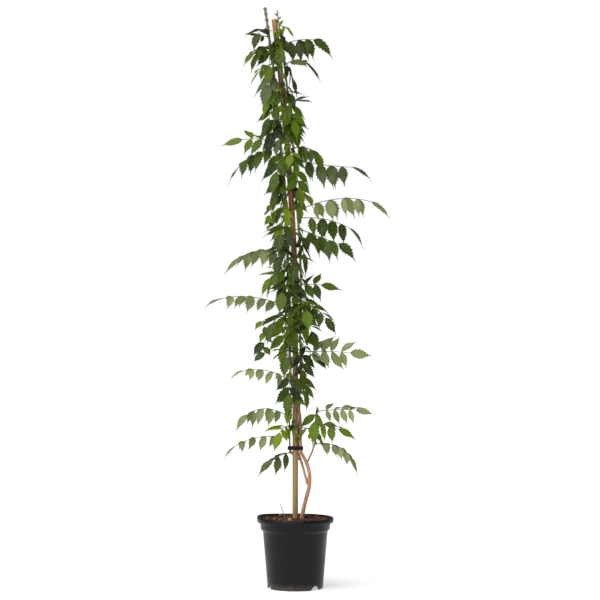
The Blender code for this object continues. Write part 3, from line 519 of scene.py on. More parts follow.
@dataclass(frozen=True)
class CutEnd(Finish):
    """End grain, sawn or snipped: dry pale pores that look matt and dusty."""

    name: str = "cut end grain"
    low: str = "#8C6C45"
    high: str = "#C9A878"

    def sockets(self, tree: Tree) -> Inputs:
        """Speckle the end with pores 0.5 mm apart.

        Args:
            tree: the material's nodes.

        Returns:
            What the shader's sockets read.
        """
        spot = add_node(tree, "ShaderNodeTexCoord", output="Object")
        pores = add_node(tree, "ShaderNodeTexNoise", {"Vector": spot, "Scale": 1800.0, "Detail": 2.0})
        colour = add_node(tree, "ShaderNodeValToRGB", {0: pores}, stops=((0.3, self.low), (0.7, self.high)))
        return {"Base Color": colour, "Roughness": 0.9}


@dataclass(frozen=True)
class StudioPaper(Finish):
    """Translucent white sheet of a light table: it glows a little, so shadows on it stay faint."""

    name: str = "translucent white light table"
    colour: str = "#CFCFCF"
    glow: float = 0.5

    def sockets(self, tree: Tree) -> Inputs:
        """Even values on the shader's own sockets."""
        return {"Base Color": self.colour, "Roughness": 0.9, "Specular IOR Level": 0.1,
                "Emission Color": WHITE, "Emission Strength": self.glow}


UPPER_FACE = LeafFace("waxy leaf, upper face", "#0E1701", "#2A3C05", "#47600C", "#2F3A1C", "#8C9268",
                      "#6B800C", "#728438", 0.45, -0.6)
LOWER_FACE = LeafFace("leaf, lower face", "#2A390C", "#465A18", "#667620", "#485428", "#8C9660",
                      "#7C8E24", "#909D56", 0.6, 0.9)
LEAF_STALK = GreenShoot("grown leaf stalk", "#43332F", "#3F4A1C", "#65702F", brown_below=0.2,
                        green_above=1.0)


# Shells and meshes

def grid_quads(rows: int, columns: int, wrap_rows: bool = False, wrap_columns: bool = False) -> Array:
    """Quads between neighbouring points of a grid.

    Args:
        rows: points along the first parameter.
        columns: points along the second.
        wrap_rows: whether the last row joins the first.
        wrap_columns: whether the last column joins the first.

    Returns:
        Point numbers, four a quad.
    """
    r = np.arange(rows if wrap_rows else rows - 1)[:, None]
    c = np.arange(columns if wrap_columns else columns - 1)
    r2, c2 = (r + 1) % rows, (c + 1) % columns
    return joined(r * columns + c, r * columns + c2, r2 * columns + c2, r2 * columns + c).reshape(-1, 4)


@dataclass
class Shells:
    """Closed shells of one kind: side 0 of a sheet is its upper face."""

    points: Array
    faces: list[Array]
    uv: Array
    sides: Array


def closed_tubes(rings: Array, first: Array, last: Array) -> Shells:
    """Close tubes over rings of points, with a pole at each end.

    A tube is a function of the place along it and the angle round it.

    Args:
        rings: (tube, ring, point, 3).
        first: (tube, 3), the poles before the first ring.
        last: (tube, 3), the poles after the last ring.

    Returns:
        The shells; u runs along a tube and v round it.
    """
    tubes, rows, columns = rings.shape[:3]
    size = rows * columns
    tube, k = np.arange(tubes)[:, None], np.arange(columns)
    nxt, end = (k + 1) % columns, tube * size + size - columns
    quads = grid_quads(rows, columns, wrap_columns=True) + tube[..., None] * size
    low = joined(tubes * size + tube, tube * size + nxt, tube * size + k)
    high = joined(tubes * (size + 1) + tube, end + k, end + nxt)
    uv = np.tile(joined(np.linspace(0, 1, rows)[:, None], k / columns).reshape(-1, 2), (tubes, 1))
    faces = [quads.reshape(-1, 4), low.reshape(-1, 3), high.reshape(-1, 3)]
    return Shells(np.vstack([rings.reshape(-1, 3), first, last]), faces,
                  np.vstack([uv, np.zeros((tubes, 2)), np.ones((tubes, 2))]),
                  np.zeros(sum(map(len, faces)), int))


def closed_sheets(middle: Array, normal: Array, half: float, uv: Array) -> Shells:
    """Close thin sheets: each middle surface is set off both ways along its normals and rimmed.

    Args:
        middle: (sheet, row, column, 3), a function of the two parameters of the sheet.
        normal: unit normals of the same shape.
        half: half the thickness.
        uv: (row, column, 2), the pattern's place of each point.

    Returns:
        The shells; their upper faces are side 0 and their lower faces and rims side 1.
    """
    sheets, rows, columns = middle.shape[:3]
    size = rows * columns
    top = grid_quads(rows, columns)
    where = np.arange(size).reshape(rows, columns)
    loop = np.concatenate([where[0, :-1], where[:-1, -1], where[-1, :0:-1], where[:0:-1, 0]])
    nxt = np.roll(loop, -1)
    rim = np.stack([nxt, loop, loop + size, nxt + size], axis=1)
    faces = np.vstack([top, top[:, ::-1] + size, rim]) + 2 * size * np.arange(sheets)[:, None, None]
    points = np.stack([middle + normal * half, middle - normal * half], axis=1)
    sides = np.repeat((0, 1), (len(top), len(top) + len(rim)))
    return Shells(points.reshape(-1, 3), [faces.reshape(-1, 4)],
                  np.tile(uv.reshape(-1, 2), (2 * sheets, 1)), np.tile(sides, sheets))


def swept(path: Array, radius: Array, sides: int, ridges: Array | float = 0.0) -> Array:
    """Carry a round section along a path that never runs level to the right.

    A point is the path's point plus the radius, times one plus the ridges, in the plane
    square to the path's direction.

    Args:
        path: (n, 3) centres.
        radius: (n,) radii.
        sides: points round the section.
        ridges: (n, sides) or a number, the share by which a point stands out.

    Returns:
        (1, n, sides, 3) rings.
    """
    tangent = unit(np.gradient(path, axis=0))
    side = unit(np.array([1.0, 0.0, 0.0]) - tangent * tangent[:, :1])
    out = circle(angles(sides, 0.5), side, np.cross(tangent, side))
    reach = np.broadcast_to(radius[:, None] * (1.0 + ridges), (len(path), sides))
    return (path[:, None] + out * reach[..., None])[None]


def rod(path: Array, radius: Array, sides: int, ridges: Array | float = 0.0) -> Shells:
    """Close the round section that is carried along a path."""
    return closed_tubes(swept(path, radius, sides, ridges), path[:1], path[-1:])


class Skin:
    """Closed shells gathered into one mesh, with the values that their finishes read."""

    def __init__(self) -> None:
        """Start with no shells."""
        self.points, self.faces, self.slots, self.uv, self.tint = [], [], [], [], []
        self.count = 0

    def add(self, shells: Shells, slots: Array | int = 0, tint: Any = (0.5, 0.5, 0.5)) -> None:
        """Add shells, turned so that their faces point outwards.

        Args:
            shells: what is added.
            slots: finish number, for all faces or for each.
            tint: three shades that the finish reads, for all points or for each.
        """
        points = shells.points
        volume = sum(np.vdot(points[f[:, 0]], np.cross(points[f[:, k]], points[f[:, k + 1]]))
                     for f in shells.faces for k in range(1, f.shape[1] - 1))
        self.faces += [(f if volume > 0 else f[:, ::-1]) + self.count for f in shells.faces]
        self.points.append(points)
        self.uv.append(shells.uv)
        self.slots.append(np.broadcast_to(slots, len(shells.sides)))
        self.tint.append(np.broadcast_to(tint, points.shape))
        self.count += len(points)

    def mesh(self, name: str, finishes: tuple[Finish, ...], sharp: float) -> bpy.types.Mesh:
        """Make the mesh.

        Args:
            name: its name.
            finishes: one for each finish number.
            sharp: angle in degrees above which an edge stays sharp.

        Returns:
            The mesh in metres.
        """
        points, uv = np.concatenate(self.points) * MM, np.concatenate(self.uv)
        loops = np.concatenate([f.ravel() for f in self.faces])
        totals = np.concatenate([np.full(len(f), f.shape[1]) for f in self.faces])
        tint = np.hstack([np.concatenate(self.tint), np.ones((len(points), 1))])
        mesh = bpy.data.meshes.new(name)
        for part, key, values in ((mesh.vertices, "co", points), (mesh.loops, "vertex_index", loops),
                                  (mesh.polygons, "loop_start", np.cumsum(totals) - totals)):
            part.add(len(values))
            part.foreach_set(key, values.ravel())
        mesh.polygons.foreach_set("material_index", np.concatenate(self.slots))
        mesh.update(calc_edges=True)
        mesh.uv_layers.new(name="blade").data.foreach_set("uv", uv[loops].ravel())
        mesh.color_attributes.new("tint", "FLOAT_COLOR", "POINT").data.foreach_set("color", tint.ravel())
        mesh.shade_smooth()
        mesh.set_sharp_from_angle(angle=math.radians(sharp))
        for finish in finishes:
            mesh.materials.append(finish.make())
        return mesh

    def piece(self, name: str, finishes: tuple[Finish, ...], slot: str, *nodes: str,
              sharp: float = 50.0) -> Object:
        """Make the piece, hang it under the root body and hide the CAD nodes that it stands for.

        Args:
            name: the piece's name.
            finishes: one for each finish number.
            slot: not used.
            *nodes: CAD nodes that it stands for.
            sharp: angle in degrees above which an edge stays sharp.

        Returns:
            The piece.
        """
        item = put(name, self.mesh(name, finishes, sharp))
        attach(item, "root")
        if nodes:
            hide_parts(*nodes)
        LOG.info("%s: %d points", name, self.count)
        return item


# Plan of the plant

class Tone(Enum):
    """Look of a leaf: its lightness, then its place between a grey green that is painted sheen, green and
    young green.
    """

    DEEP = (0.06, 0.52)
    GARDEN = (0.42, 0.54)
    FRESH = (0.85, 0.66)
    # painted sheen: the next two tones take mostly the grey-green ramp that stands in for sheen
    SAGE = (0.32, 0.16)
    MIST = (0.8, 0.12)
    PALE = (1.1, 0.10)
    YOUNG = (0.9, 0.95)


@dataclass(frozen=True)
class Leaf:
    """One pinnate leaf: where it grows and how it is held."""

    height: float
    bearing: float
    reach: float
    rise: float
    droop: float
    size: float
    tone: Tone
    pairs: int = 2
    roll: float = 0.0
    hang: float = 0.15

    HANGING_DROOP = -70.0
    STEPS = 60
    RACHIS_HALF = 0.8
    LAST_PAIR = 0.97

    @property
    def hanging(self) -> bool:
        """Whether the leaf hangs from a bend in its stalk."""
        return self.droop < self.HANGING_DROOP

    @property
    def spacing(self) -> float:
        """Share of the reach between two pairs; bare stalk comes before the first."""
        return (self.LAST_PAIR - max(0.24, 11.0 / self.reach)) / self.pairs

    @property
    def places(self) -> Array:
        """Shares of the reach at which the pairs sit."""
        return max(0.24, 11.0 / self.reach) + self.spacing * np.arange(self.pairs)

    def slope(self, share: Array) -> Array:
        """Slope of the midline in radians: a hanging leaf bends at once, others arch by a power."""
        bend = np.minimum(share / 0.2, 1.0) if self.hanging else share ** 1.3
        return np.radians(self.rise + (self.droop - self.rise) * bend)

    def midline(self, start: Array, share: Array) -> tuple[Array, Array, Array, Array]:
        """Follow the midline: short steps along the slope, added up from the stem's axis.

        Args:
            start: point on the stem's axis.
            share: places along the reach, 0 to 1.

        Returns:
            Points, and unit vectors along, across and above, each (n, 3).
        """
        slope = self.slope((np.arange(self.STEPS) + 0.5) / self.STEPS)
        out = direction(self.bearing)
        moves = (np.cos(slope)[:, None] * out + np.sin(slope)[:, None] * UP) * self.reach / self.STEPS
        line = start + np.vstack([np.zeros(3), np.cumsum(moves, axis=0)])
        grid = np.linspace(0.0, 1.0, self.STEPS + 1)
        points = joined(*(np.interp(share, grid, coordinate) for coordinate in line.T))
        angle = self.slope(share)[:, None]
        tangent = np.cos(angle) * out + np.sin(angle) * UP
        level = np.cross(out, UP)
        roll = math.radians(self.roll) * -level[1]
        side = math.cos(roll) * level - math.sin(roll) * np.cross(level, tangent)
        return points, tangent, side, np.cross(side, tangent)

    def stalk_end(self, start: Array) -> Array:
        """Four corners of the part's square stalk where its last leaflet starts, from a start on the axis."""
        point, _, side, upper = (row[0] for row in self.midline(start, np.ones(1)))
        return point + self.RACHIS_HALF * np.array([side + upper, side - upper, upper - side, -side - upper])


TIE_HEIGHTS = (273.0, 367.0, 500.0, 778.0, 1034.0)
# Bearings at which the pinched tails of the ties stand out
TIE_TAILS = (-70.0, -80.0, 60.0, 70.0, -85.0)
CANE_TOP = 1110.0
CANE_BEND = 560.0
CANE_LEAN = 41.0
WOOD_TOP = 288.0


def cane_axis(z: Array | float) -> Array:
    """Points of the cane's axis: its lean to the left grows by a power above the bend."""
    rise = np.clip(np.asarray(z, float) - CANE_BEND, 0.0, None) / (CANE_TOP - CANE_BEND)
    return joined(-CANE_LEAN * rise ** 1.6, 0.0, z)


@dataclass(frozen=True)
class Climber:
    """Axis of a stem that climbs the cane, by bearing and distance from the cane's axis."""

    heights: tuple[float, ...]
    bearings: tuple[float, ...]
    standoffs: tuple[float, ...]
    radii: tuple[float, ...]
    bow: float = 2.2
    rings: int = 260

    def axis(self, z: Array) -> Array:
        """Points of the axis; between two ties it bows off the cane by a squared sine.

        Args:
            z: heights.

        Returns:
            The points.
        """
        z, ties = np.asarray(z, float), np.array(TIE_HEIGHTS)
        after = np.clip(np.searchsorted(ties, z), 1, len(ties) - 1)
        share = np.clip((z - ties[after - 1]) / (ties[after] - ties[after - 1]), 0.0, 1.0)
        away = np.interp(z, self.heights, self.standoffs) + self.bow * np.sin(math.pi * share) ** 2
        return cane_axis(z) + away[..., None] * direction(np.interp(z, self.heights, self.bearings))

    def radius(self, z: Array) -> Array:
        """Radii of the stem at heights."""
        return np.interp(z, self.heights, self.radii)

    def path(self) -> Array:
        """Points of the axis at which a ring is drawn, from the top of the wood to the end."""
        return self.axis(np.linspace(WOOD_TOP + 0.3, self.heights[-1] - 0.4, self.rings))


@dataclass(frozen=True)
class SideShoot:
    """Axis of a short shoot through points, from its root on the bark."""

    points: tuple[Point, ...]
    radii: tuple[float, float] = (1.7, 1.5)

    def path(self) -> Array:
        """Points of the axis at which a ring is drawn."""
        return smooth_path(self.points, 6)

    def axis(self, z: Array) -> Array:
        """Points of the axis at heights."""
        path = self.path()
        return joined(*(np.interp(z, path[:, 2], coordinate) for coordinate in path.T))

    def radius(self, z: Array) -> Array:
        """Radii of the shoot at heights."""
        return np.interp(z, (self.points[0][2], self.points[-1][2]), self.radii)


STEMS = {
    "main_vine": Climber((262, 288, 340, 392, 450, 560, 760, 960, 1060, 1090, 1134),
                         (78, 75, 50, -30, -80, -92, -95, -88, -88, -90, -95),
                         (11.5, 9.6, 9.6, 9.4, 9.4, 10.5, 11.0, 11.0, 14.0, 14.5, 15.5),
                         (3.2, 3.1, 2.9, 2.8, 2.7, 2.6, 2.5, 2.4, 2.3, 2.3, 2.2)),
    "second_vine": Climber((262, 288, 340, 392, 450, 560, 760, 960, 1060, 1095, 1128),
                           (150, 146, 128, 105, 98, 92, 94, 90, 86, 60, 60),
                           (9.6, 8.6, 8.8, 9.0, 9.2, 9.4, 10.0, 9.6, 9.8, 9.0, 8.4),
                           (2.3, 2.25, 2.2, 2.1, 2.1, 2.0, 2.0, 1.9, 1.8, 1.5, 1.0)),
    "low_right_shoot": SideShoot(((23.54, -5.62, 247.08), (25.2, -7.2, 248.6), (27, -10, 254),
                                  (34, -14, 270), (41, -14, 298), (43, -12, 354))),
    "low_left_shoot": SideShoot(((12.7, 8.15, 243.77), (13.34, 9.74, 243.86), (8.5, 12.6, 249),
                                 (-1, 13.4, 256), (-9, 9, 266), (-11, 2, 286), (-11.5, -1, 346))),
}
VINES = ("main_vine", "second_vine")
DEEP, GARDEN, FRESH, SAGE, MIST, PALE, YOUNG = Tone

# Leaves chosen one by one, as the part plans them: height, bearing, reach, rise, droop, leaflet
# length and tone, then pairs, roll and hang where they aren't the usual ones
CHOSEN_LEAVES = {
    "main_vine": (
        # the ones that shape the outline, from the top down
        Leaf(1076, -80, 30, 5, 12, 16, GARDEN, 2, 40, 0.3),
        Leaf(1058, -72, 42, -10, -45, 24, GARDEN, 2, 50, 0.5),
        Leaf(1024, -100, 36, -20, -50, 24, FRESH, 2, 50, 0.5),
        Leaf(1010, -50, 36, 10, -72, 40, SAGE, 2, 30, 0.3),
        Leaf(985, -88, 36, -10, -72, 32, FRESH, 2, 30, 0.5),
        Leaf(922, -58, 42, 5, -75, 38, DEEP, 2, 40, 0.4),
        Leaf(876, -70, 80, 12, -12, 33, FRESH, 3, 55, 0.3),
        Leaf(856, -100, 92, 0, -48, 36, GARDEN, 4, 30, 0.8),
        Leaf(654, -88, 98, 14, -34, 36, MIST, 4, 35, 0.8),
        Leaf(618, -72, 46, 5, -62, 30, FRESH, 2, 50, 0.2),
        Leaf(546, -94, 140, 24, -14, 32, MIST, 5, 12, 0.7),
        Leaf(538, -60, 72, 10, -88, 42, FRESH, 3, 50, 0.2),
        Leaf(402, -88, 103, 34, -16, 26, PALE, 4, 25, 1),
        # the ones that cover the column towards the viewer
        Leaf(1052, -24, 40, 0, -80, 34, GARDEN, 1),
        Leaf(940, -52, 44, 0, -80, 36, GARDEN, 2, 20),
        Leaf(902, -14, 46, 0, -76, 38, SAGE),
        Leaf(846, -24, 50, 0, -78, 39, GARDEN),
        Leaf(808, -56, 46, 0, -80, 37, GARDEN, 2, 20),
        Leaf(750, -52, 46, 0, -80, 37, YOUNG, 2, 20),
        Leaf(716, -40, 46, 0, -78, 37, SAGE, 2, 20),
        Leaf(640, -28, 46, 0, -78, 38, GARDEN),
        Leaf(420, -20, 44, 0, -80, 37, DEEP),
        Leaf(1086, -30, 44, 20, -60, 32, DEEP),
        Leaf(470, -26, 58, 20, -60, 36, DEEP),
        # the ones in front of those
        Leaf(664, -16, 62, 22, -60, 38, DEEP),
        Leaf(584, -14, 62, 24, -58, 38, GARDEN),
        Leaf(522, -20, 60, 20, -60, 38, GARDEN),
        Leaf(700, -14, 56, 20, -62, 36, GARDEN),
    ),
    "second_vine": (
        # the ones that shape the outline, from the top down
        Leaf(1060, 82, 67, 22, -12, 40, DEEP, 3, 35, 2.2),
        Leaf(1098, 75, 24, -10, -50, 15, YOUNG, 1, 30, 0.5),
        Leaf(1024, 60, 38, 0, -84, 32, DEEP, 2, 30, 0.4),
        Leaf(962, 82, 30, 28, 8, 26, DEEP, 1, 50, 0.2),
        Leaf(858, 70, 52, 14, -55, 33, GARDEN, 3, 40, 1.4),
        Leaf(838, 90, 120, -14, 0, 38, SAGE, 4, 30, 2.2),
        Leaf(736, 78, 156, 24, -18, 37, MIST, 4, 30, 1.6),
        Leaf(722, 98, 110, 4, -32, 38, GARDEN, 4, 30, 2),
        Leaf(702, 64, 96, -22, -16, 38, GARDEN, 3, 30, 2),
        Leaf(592, 88, 44, 4, -10, 32, GARDEN, 2, 60, 0.2),
        Leaf(568, 72, 70, -30, -52, 30, GARDEN, 3, 40, 0.4),
        Leaf(461, 86, 101, 2, -6, 34, PALE, 4, 75, 0.1),
        Leaf(478, 60, 64, -50, -30, 24, DEEP, 2, 30, 0.4),
        # the ones that cover the column towards the viewer
        Leaf(1074, 14, 34, 0, -78, 34, GARDEN),
        Leaf(960, 28, 44, 0, -76, 35, FRESH),
        Leaf(920, 56, 40, 0, -78, 33, GARDEN, 2, 20),
        Leaf(874, 22, 44, 0, -76, 36, FRESH),
        Leaf(818, 40, 46, 0, -80, 36, FRESH, 2, 10),
        Leaf(770, 50, 44, 0, -80, 35, FRESH, 2, 10),
        Leaf(690, 46, 46, 0, -80, 37, DEEP),
        Leaf(566, 22, 46, 0, -78, 38, FRESH),
        Leaf(486, 34, 44, 0, -80, 37, DEEP),
        Leaf(1040, 24, 56, 20, -62, 34, SAGE),
        Leaf(630, 26, 62, 24, -60, 38, GARDEN),
        # the ones in front of those
        Leaf(552, 12, 62, 22, -60, 38, FRESH),
        Leaf(512, 26, 60, 20, -60, 36, DEEP),
    ),
    "low_right_shoot": (
        # the ones that shape the outline, from the top down
        Leaf(345, 84, 80, 8, -6, 27, MIST, 4, 60, 0.4),
        Leaf(322, 76, 48, -10, -20, 32, FRESH, 2, 40, 0.6),
        Leaf(274, 92, 86, 12, -60, 25, MIST, 4, 20, 1),
        Leaf(350, -30, 28, 10, -80, 38, FRESH, 1, 0, 0.2),
    ),
    "low_left_shoot": (
        # the ones that shape the outline, from the top down
        Leaf(332, -86, 94, 36, -42, 30, MIST, 4, 25, 1.3),
        Leaf(292, -98, 116, 10, -36, 27, MIST, 4, 20, 0.9),
        Leaf(270, -78, 44, -15, -42, 34, SAGE, 2, 40, 0.7),
        Leaf(314, -35, 40, 10, -60, 32, YOUNG, 2, 50, 0.2),
    ),
}

# Leaves on the far side: height and bearing
FAR_LEAVES = ((1047, 175), (980, 200), (905, 160), (840, 195), (764, 150), (700, 200), (640, 165),
              (575, 205), (520, 160), (430, 190), (330, 165))


@dataclass(frozen=True)
class Planting:
    """The part's rule for its leaves, read back from the CAD model.

    The part plans leaves one by one and by a seeded rule. One that meets another is swung,
    tilted and slid, each try further off and later smaller, until it is clear. Here a
    leaf takes the first try at which the end of its stalk lies on the CAD node, and a leaf
    for which no try does so has no place in the part.
    """

    swing: float = 75.0
    tilt: float = 26.0
    slide: float = 26.0
    steps: tuple[float, ...] = (0.618034, 0.754878, 0.569840)
    tries_per_size: int = 80
    tries: int = 240
    shrink: float = 0.14
    tolerance: float = 0.35
    far_reach: tuple[float, float] = (46, 84)
    far_rise: tuple[float, float] = (0, 30)
    far_droop: tuple[float, float] = (-55, -15)
    far_size: tuple[float, float] = (29, 36)
    far_hang: float = 0.6
    fill_count: int = 44
    fill_heights: tuple[float, float] = (1062.0, 392.0)
    fill_bearing: tuple[float, float] = (5, 110)
    fill_reach: tuple[float, float] = (36, 48)
    fill_droop: tuple[float, float] = (-86, -62)
    fill_pairs: tuple[int, ...] = (1, 2, 2)
    fill_size: tuple[float, float] = (32, 38)
    fill_roll: float = 20.0
    hidden_tones: tuple[Tone, ...] = (DEEP, GARDEN, GARDEN, SAGE, FRESH)

    def varied(self, leaf: Leaf, number: int) -> Leaf:
        """Hold a leaf as at one of its tries.

        Swing, tilt and slide follow three even sequences between -1 and 1, times the
        square root of the share of tries made.

        Args:
            leaf: the leaf as planned.
            number: the try, 0 for the plan itself.

        Returns:
            The leaf as it is held.
        """
        amount = math.sqrt(number % self.tries_per_size / self.tries_per_size)
        swing, tilt, slide = (amount * (2 * (number * step % 1.0) - 1) for step in self.steps)
        scale = 1.0 - self.shrink * (number // self.tries_per_size)
        droop = leaf.droop + tilt * self.tilt
        if leaf.hanging:
            droop = min(droop, leaf.HANGING_DROOP - 1.0)
        return replace(leaf, height=leaf.height + slide * self.slide, droop=droop,
                       bearing=leaf.bearing + swing * self.swing, rise=leaf.rise + tilt * self.tilt,
                       reach=leaf.reach * scale, size=leaf.size * scale)

    def settled(self, leaf: Leaf, stem: str, corners: KDTree) -> Leaf | None:
        """Find the try at which the part holds a leaf.

        Args:
            leaf: the leaf as planned.
            stem: the CAD node of its stem.
            corners: the node's corners, in a search tree.

        Returns:
            The leaf as it is held, or None where the part has no room for it.
        """
        for number in range(self.tries):
            held = self.varied(leaf, number)
            end = held.stalk_end(STEMS[stem].axis(held.height))
            if max(corners.find(corner)[2] for corner in end) < self.tolerance:
                return held
        return None

    def plan(self) -> dict[str, list[Leaf]]:
        """Plan the chosen leaves, those on the far side and those that fill the column.

        The last two kinds grow on each vine by turns, and the filling ones at even heights
        on the vine's own side of the cane.

        Returns:
            The leaves of each stem, by the name of its CAD node.
        """
        draw, tones = random.Random(SEED), random.Random(SEED)
        plan = {stem: list(leaves) for stem, leaves in CHOSEN_LEAVES.items()}
        for number, (height, bearing) in enumerate(FAR_LEAVES):
            spans = (self.far_reach, self.far_rise, self.far_droop, self.far_size)
            form = (draw.uniform(*span) for span in spans)
            leaf = Leaf(height, bearing, *form, tones.choice(self.hidden_tones), hang=self.far_hang)
            plan[VINES[number % 2]].append(leaf)
        for number, height in enumerate(np.linspace(*self.fill_heights, self.fill_count).tolist()):
            bearing = draw.uniform(*self.fill_bearing) * (1 if number % 2 else -1)
            reach, droop = draw.uniform(*self.fill_reach), draw.uniform(*self.fill_droop)
            pairs, size = draw.choice(self.fill_pairs), draw.uniform(*self.fill_size)
            leaf = Leaf(height, bearing, reach, 0.0, droop, size, tones.choice(self.hidden_tones), pairs,
                        self.fill_roll)
            plan[VINES[number % 2]].append(leaf)
        return plan

    def leaves(self) -> dict[str, list[Leaf]]:
        """Hold every planned leaf as the CAD model does.

        Returns:
            The leaves of each stem, by the name of its CAD node.
        """
        held = {}
        for stem, plan in self.plan().items():
            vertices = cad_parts[stem].data.vertices
            corners = KDTree(len(vertices))
            for vertex in vertices:
                corners.insert(vertex.co / MM, vertex.index)
            corners.balance()
            held[stem] = [leaf for leaf in (self.settled(leaf, stem, corners) for leaf in plan) if leaf]
            LOG.info("%s: %d leaves held", stem, len(held[stem]))
        return held


# Foliage

@dataclass
class Blades:
    """Leaflets of one stem, gathered as rows of numbers so that they are shaped at once."""

    rows: list[Array]

    STATIONS = np.array((0.0, 0.03, 0.08, 0.16, 0.20, 0.31, 0.35, 0.45, 0.49, 0.58, 0.62, 0.70, 0.75,
                         0.87, 1.0))
    ENVELOPE = np.array((0.05, 0.40, 0.71, 0.94, 0.98, 1.0, 0.98, 0.87, 0.79, 0.58, 0.48, 0.29, 0.20,
                         0.075, 0.012))
    TEETH = np.array((0, 0, 0, 1, -1, 1, -1, 1, -1, 1, -1, 1, -1, 0, 0))
    COLUMNS = np.array((-1.0, -0.5, 0.0, 0.5, 1.0))
    FULLNESS = 0.97
    TOOTH_DEPTH = 0.13
    TOOTH_REACH = 0.045
    SWEEP = 0.36
    QUILT = 0.035
    TIP = 0.62
    NARROWING = 0.22
    HALF_THICKNESS = 0.2
    FOLD = (0.02, 0.36)
    WAVE = (0.03, 0.13)
    CURL = (0.0, 0.35)
    DEPTH = (0.7, 1.25)

    def add(self, foot: Array, along: Array, forward: Array, upper: Array, size: float, width: float,
            hang: float, twist: float, tint: Point) -> None:
        """Note one leaflet.

        Args:
            foot: where it starts.
            along: direction in which it starts.
            forward: direction of the leaf's tip.
            upper: side of its upper face.
            size: length.
            width: breadth at its widest.
            hang: how strongly its tip turns down.
            twist: turn about its own length, in radians.
            tint: the three shades that its finish reads.
        """
        self.rows.append(np.concatenate([foot, along, forward, upper, (size, width, hang, twist), tint]))

    def shells(self, draw: np.random.Generator) -> tuple[Shells, Array]:
        """Shape every leaflet.

        The midline adds up steps along a heading that sinks by the hang. A point lies on
        it plus v times the half breadth across, moved towards the tip by the sweep, so
        that rows run as the side veins do. Every second row ends in a tooth. The blade is
        folded up along its midrib, waved at its edge and quilted between its veins.

        Args:
            draw: random numbers for fold, wave and curl.

        Returns:
            The shells and the tint of each point.
        """
        table = np.array(self.rows)
        foot, along, forward, upper = (table[:, k:k + 3] for k in (0, 3, 6, 9))
        size, width, hang, twist = table[:, 12:16, None, None].transpose(1, 0, 2, 3)
        u, v = self.STATIONS[:, None], self.COLUMNS
        sinking = 0.4 + 0.9 * u
        middle = 0.4 + 0.9 * (u[1:] + u[:-1]) / 2
        steps = unit(along[:, None] - UP * (hang * middle)) * (size * np.diff(u, axis=0))
        line = np.cumsum(np.concatenate([foot[:, None], steps], axis=1), axis=1)
        heading = unit(along[:, None] - UP * (hang * sinking))
        flip = np.sign(np.einsum("ij,ij->i", np.cross(along, forward), upper))[:, None, None]
        level = unit(forward[:, None] - heading * np.einsum("ij,ikj->ik", forward, heading)[..., None])
        normal = np.cos(twist) * np.cross(heading, level) * flip - np.sin(twist) * level
        across = np.cross(normal, heading)
        count = (len(table), 1, 1)
        spans = (self.FOLD, self.WAVE, self.CURL, self.DEPTH)
        fold, wave, curl, depth = (draw.uniform(*span, count) for span in spans)
        phase = draw.uniform(0.0, 1.0, count)
        edge, tooth = np.abs(v) == 1.0, self.TEETH[:, None]
        half = width / 2 * self.FULLNESS * self.ENVELOPE[:, None]
        front = 1.0 - self.NARROWING * (v * flip > 0) * np.exp(-u / 0.13)
        sideways = v * half * front * (1.0 + edge * tooth * self.TOOTH_DEPTH * depth)
        onward = np.abs(v) * half * self.SWEEP + edge * (tooth > 0) * self.TOOTH_REACH * size
        ripple = wave * v ** 2 * np.sin(TURN * (1.6 * u + phase + 0.3 * np.sign(v)))
        rise = half * (np.abs(v) * fold + ripple - (np.abs(v) == 0.5) * tooth * self.QUILT)
        rise = rise - curl * size * np.clip(u - self.TIP, 0.0, None) ** 2
        mid = (line[:, :, None] + across[:, :, None] * sideways[..., None]
               + heading[:, :, None] * onward[..., None] + normal[:, :, None] * rise[..., None])
        uv = joined(u, 0.5 + 0.5 * v * self.ENVELOPE[:, None])
        shells = closed_sheets(mid, np.broadcast_to(normal[:, :, None], mid.shape), self.HALF_THICKNESS, uv)
        return shells, np.repeat(table[:, 16:19], 2 * u.size * v.size, axis=0)


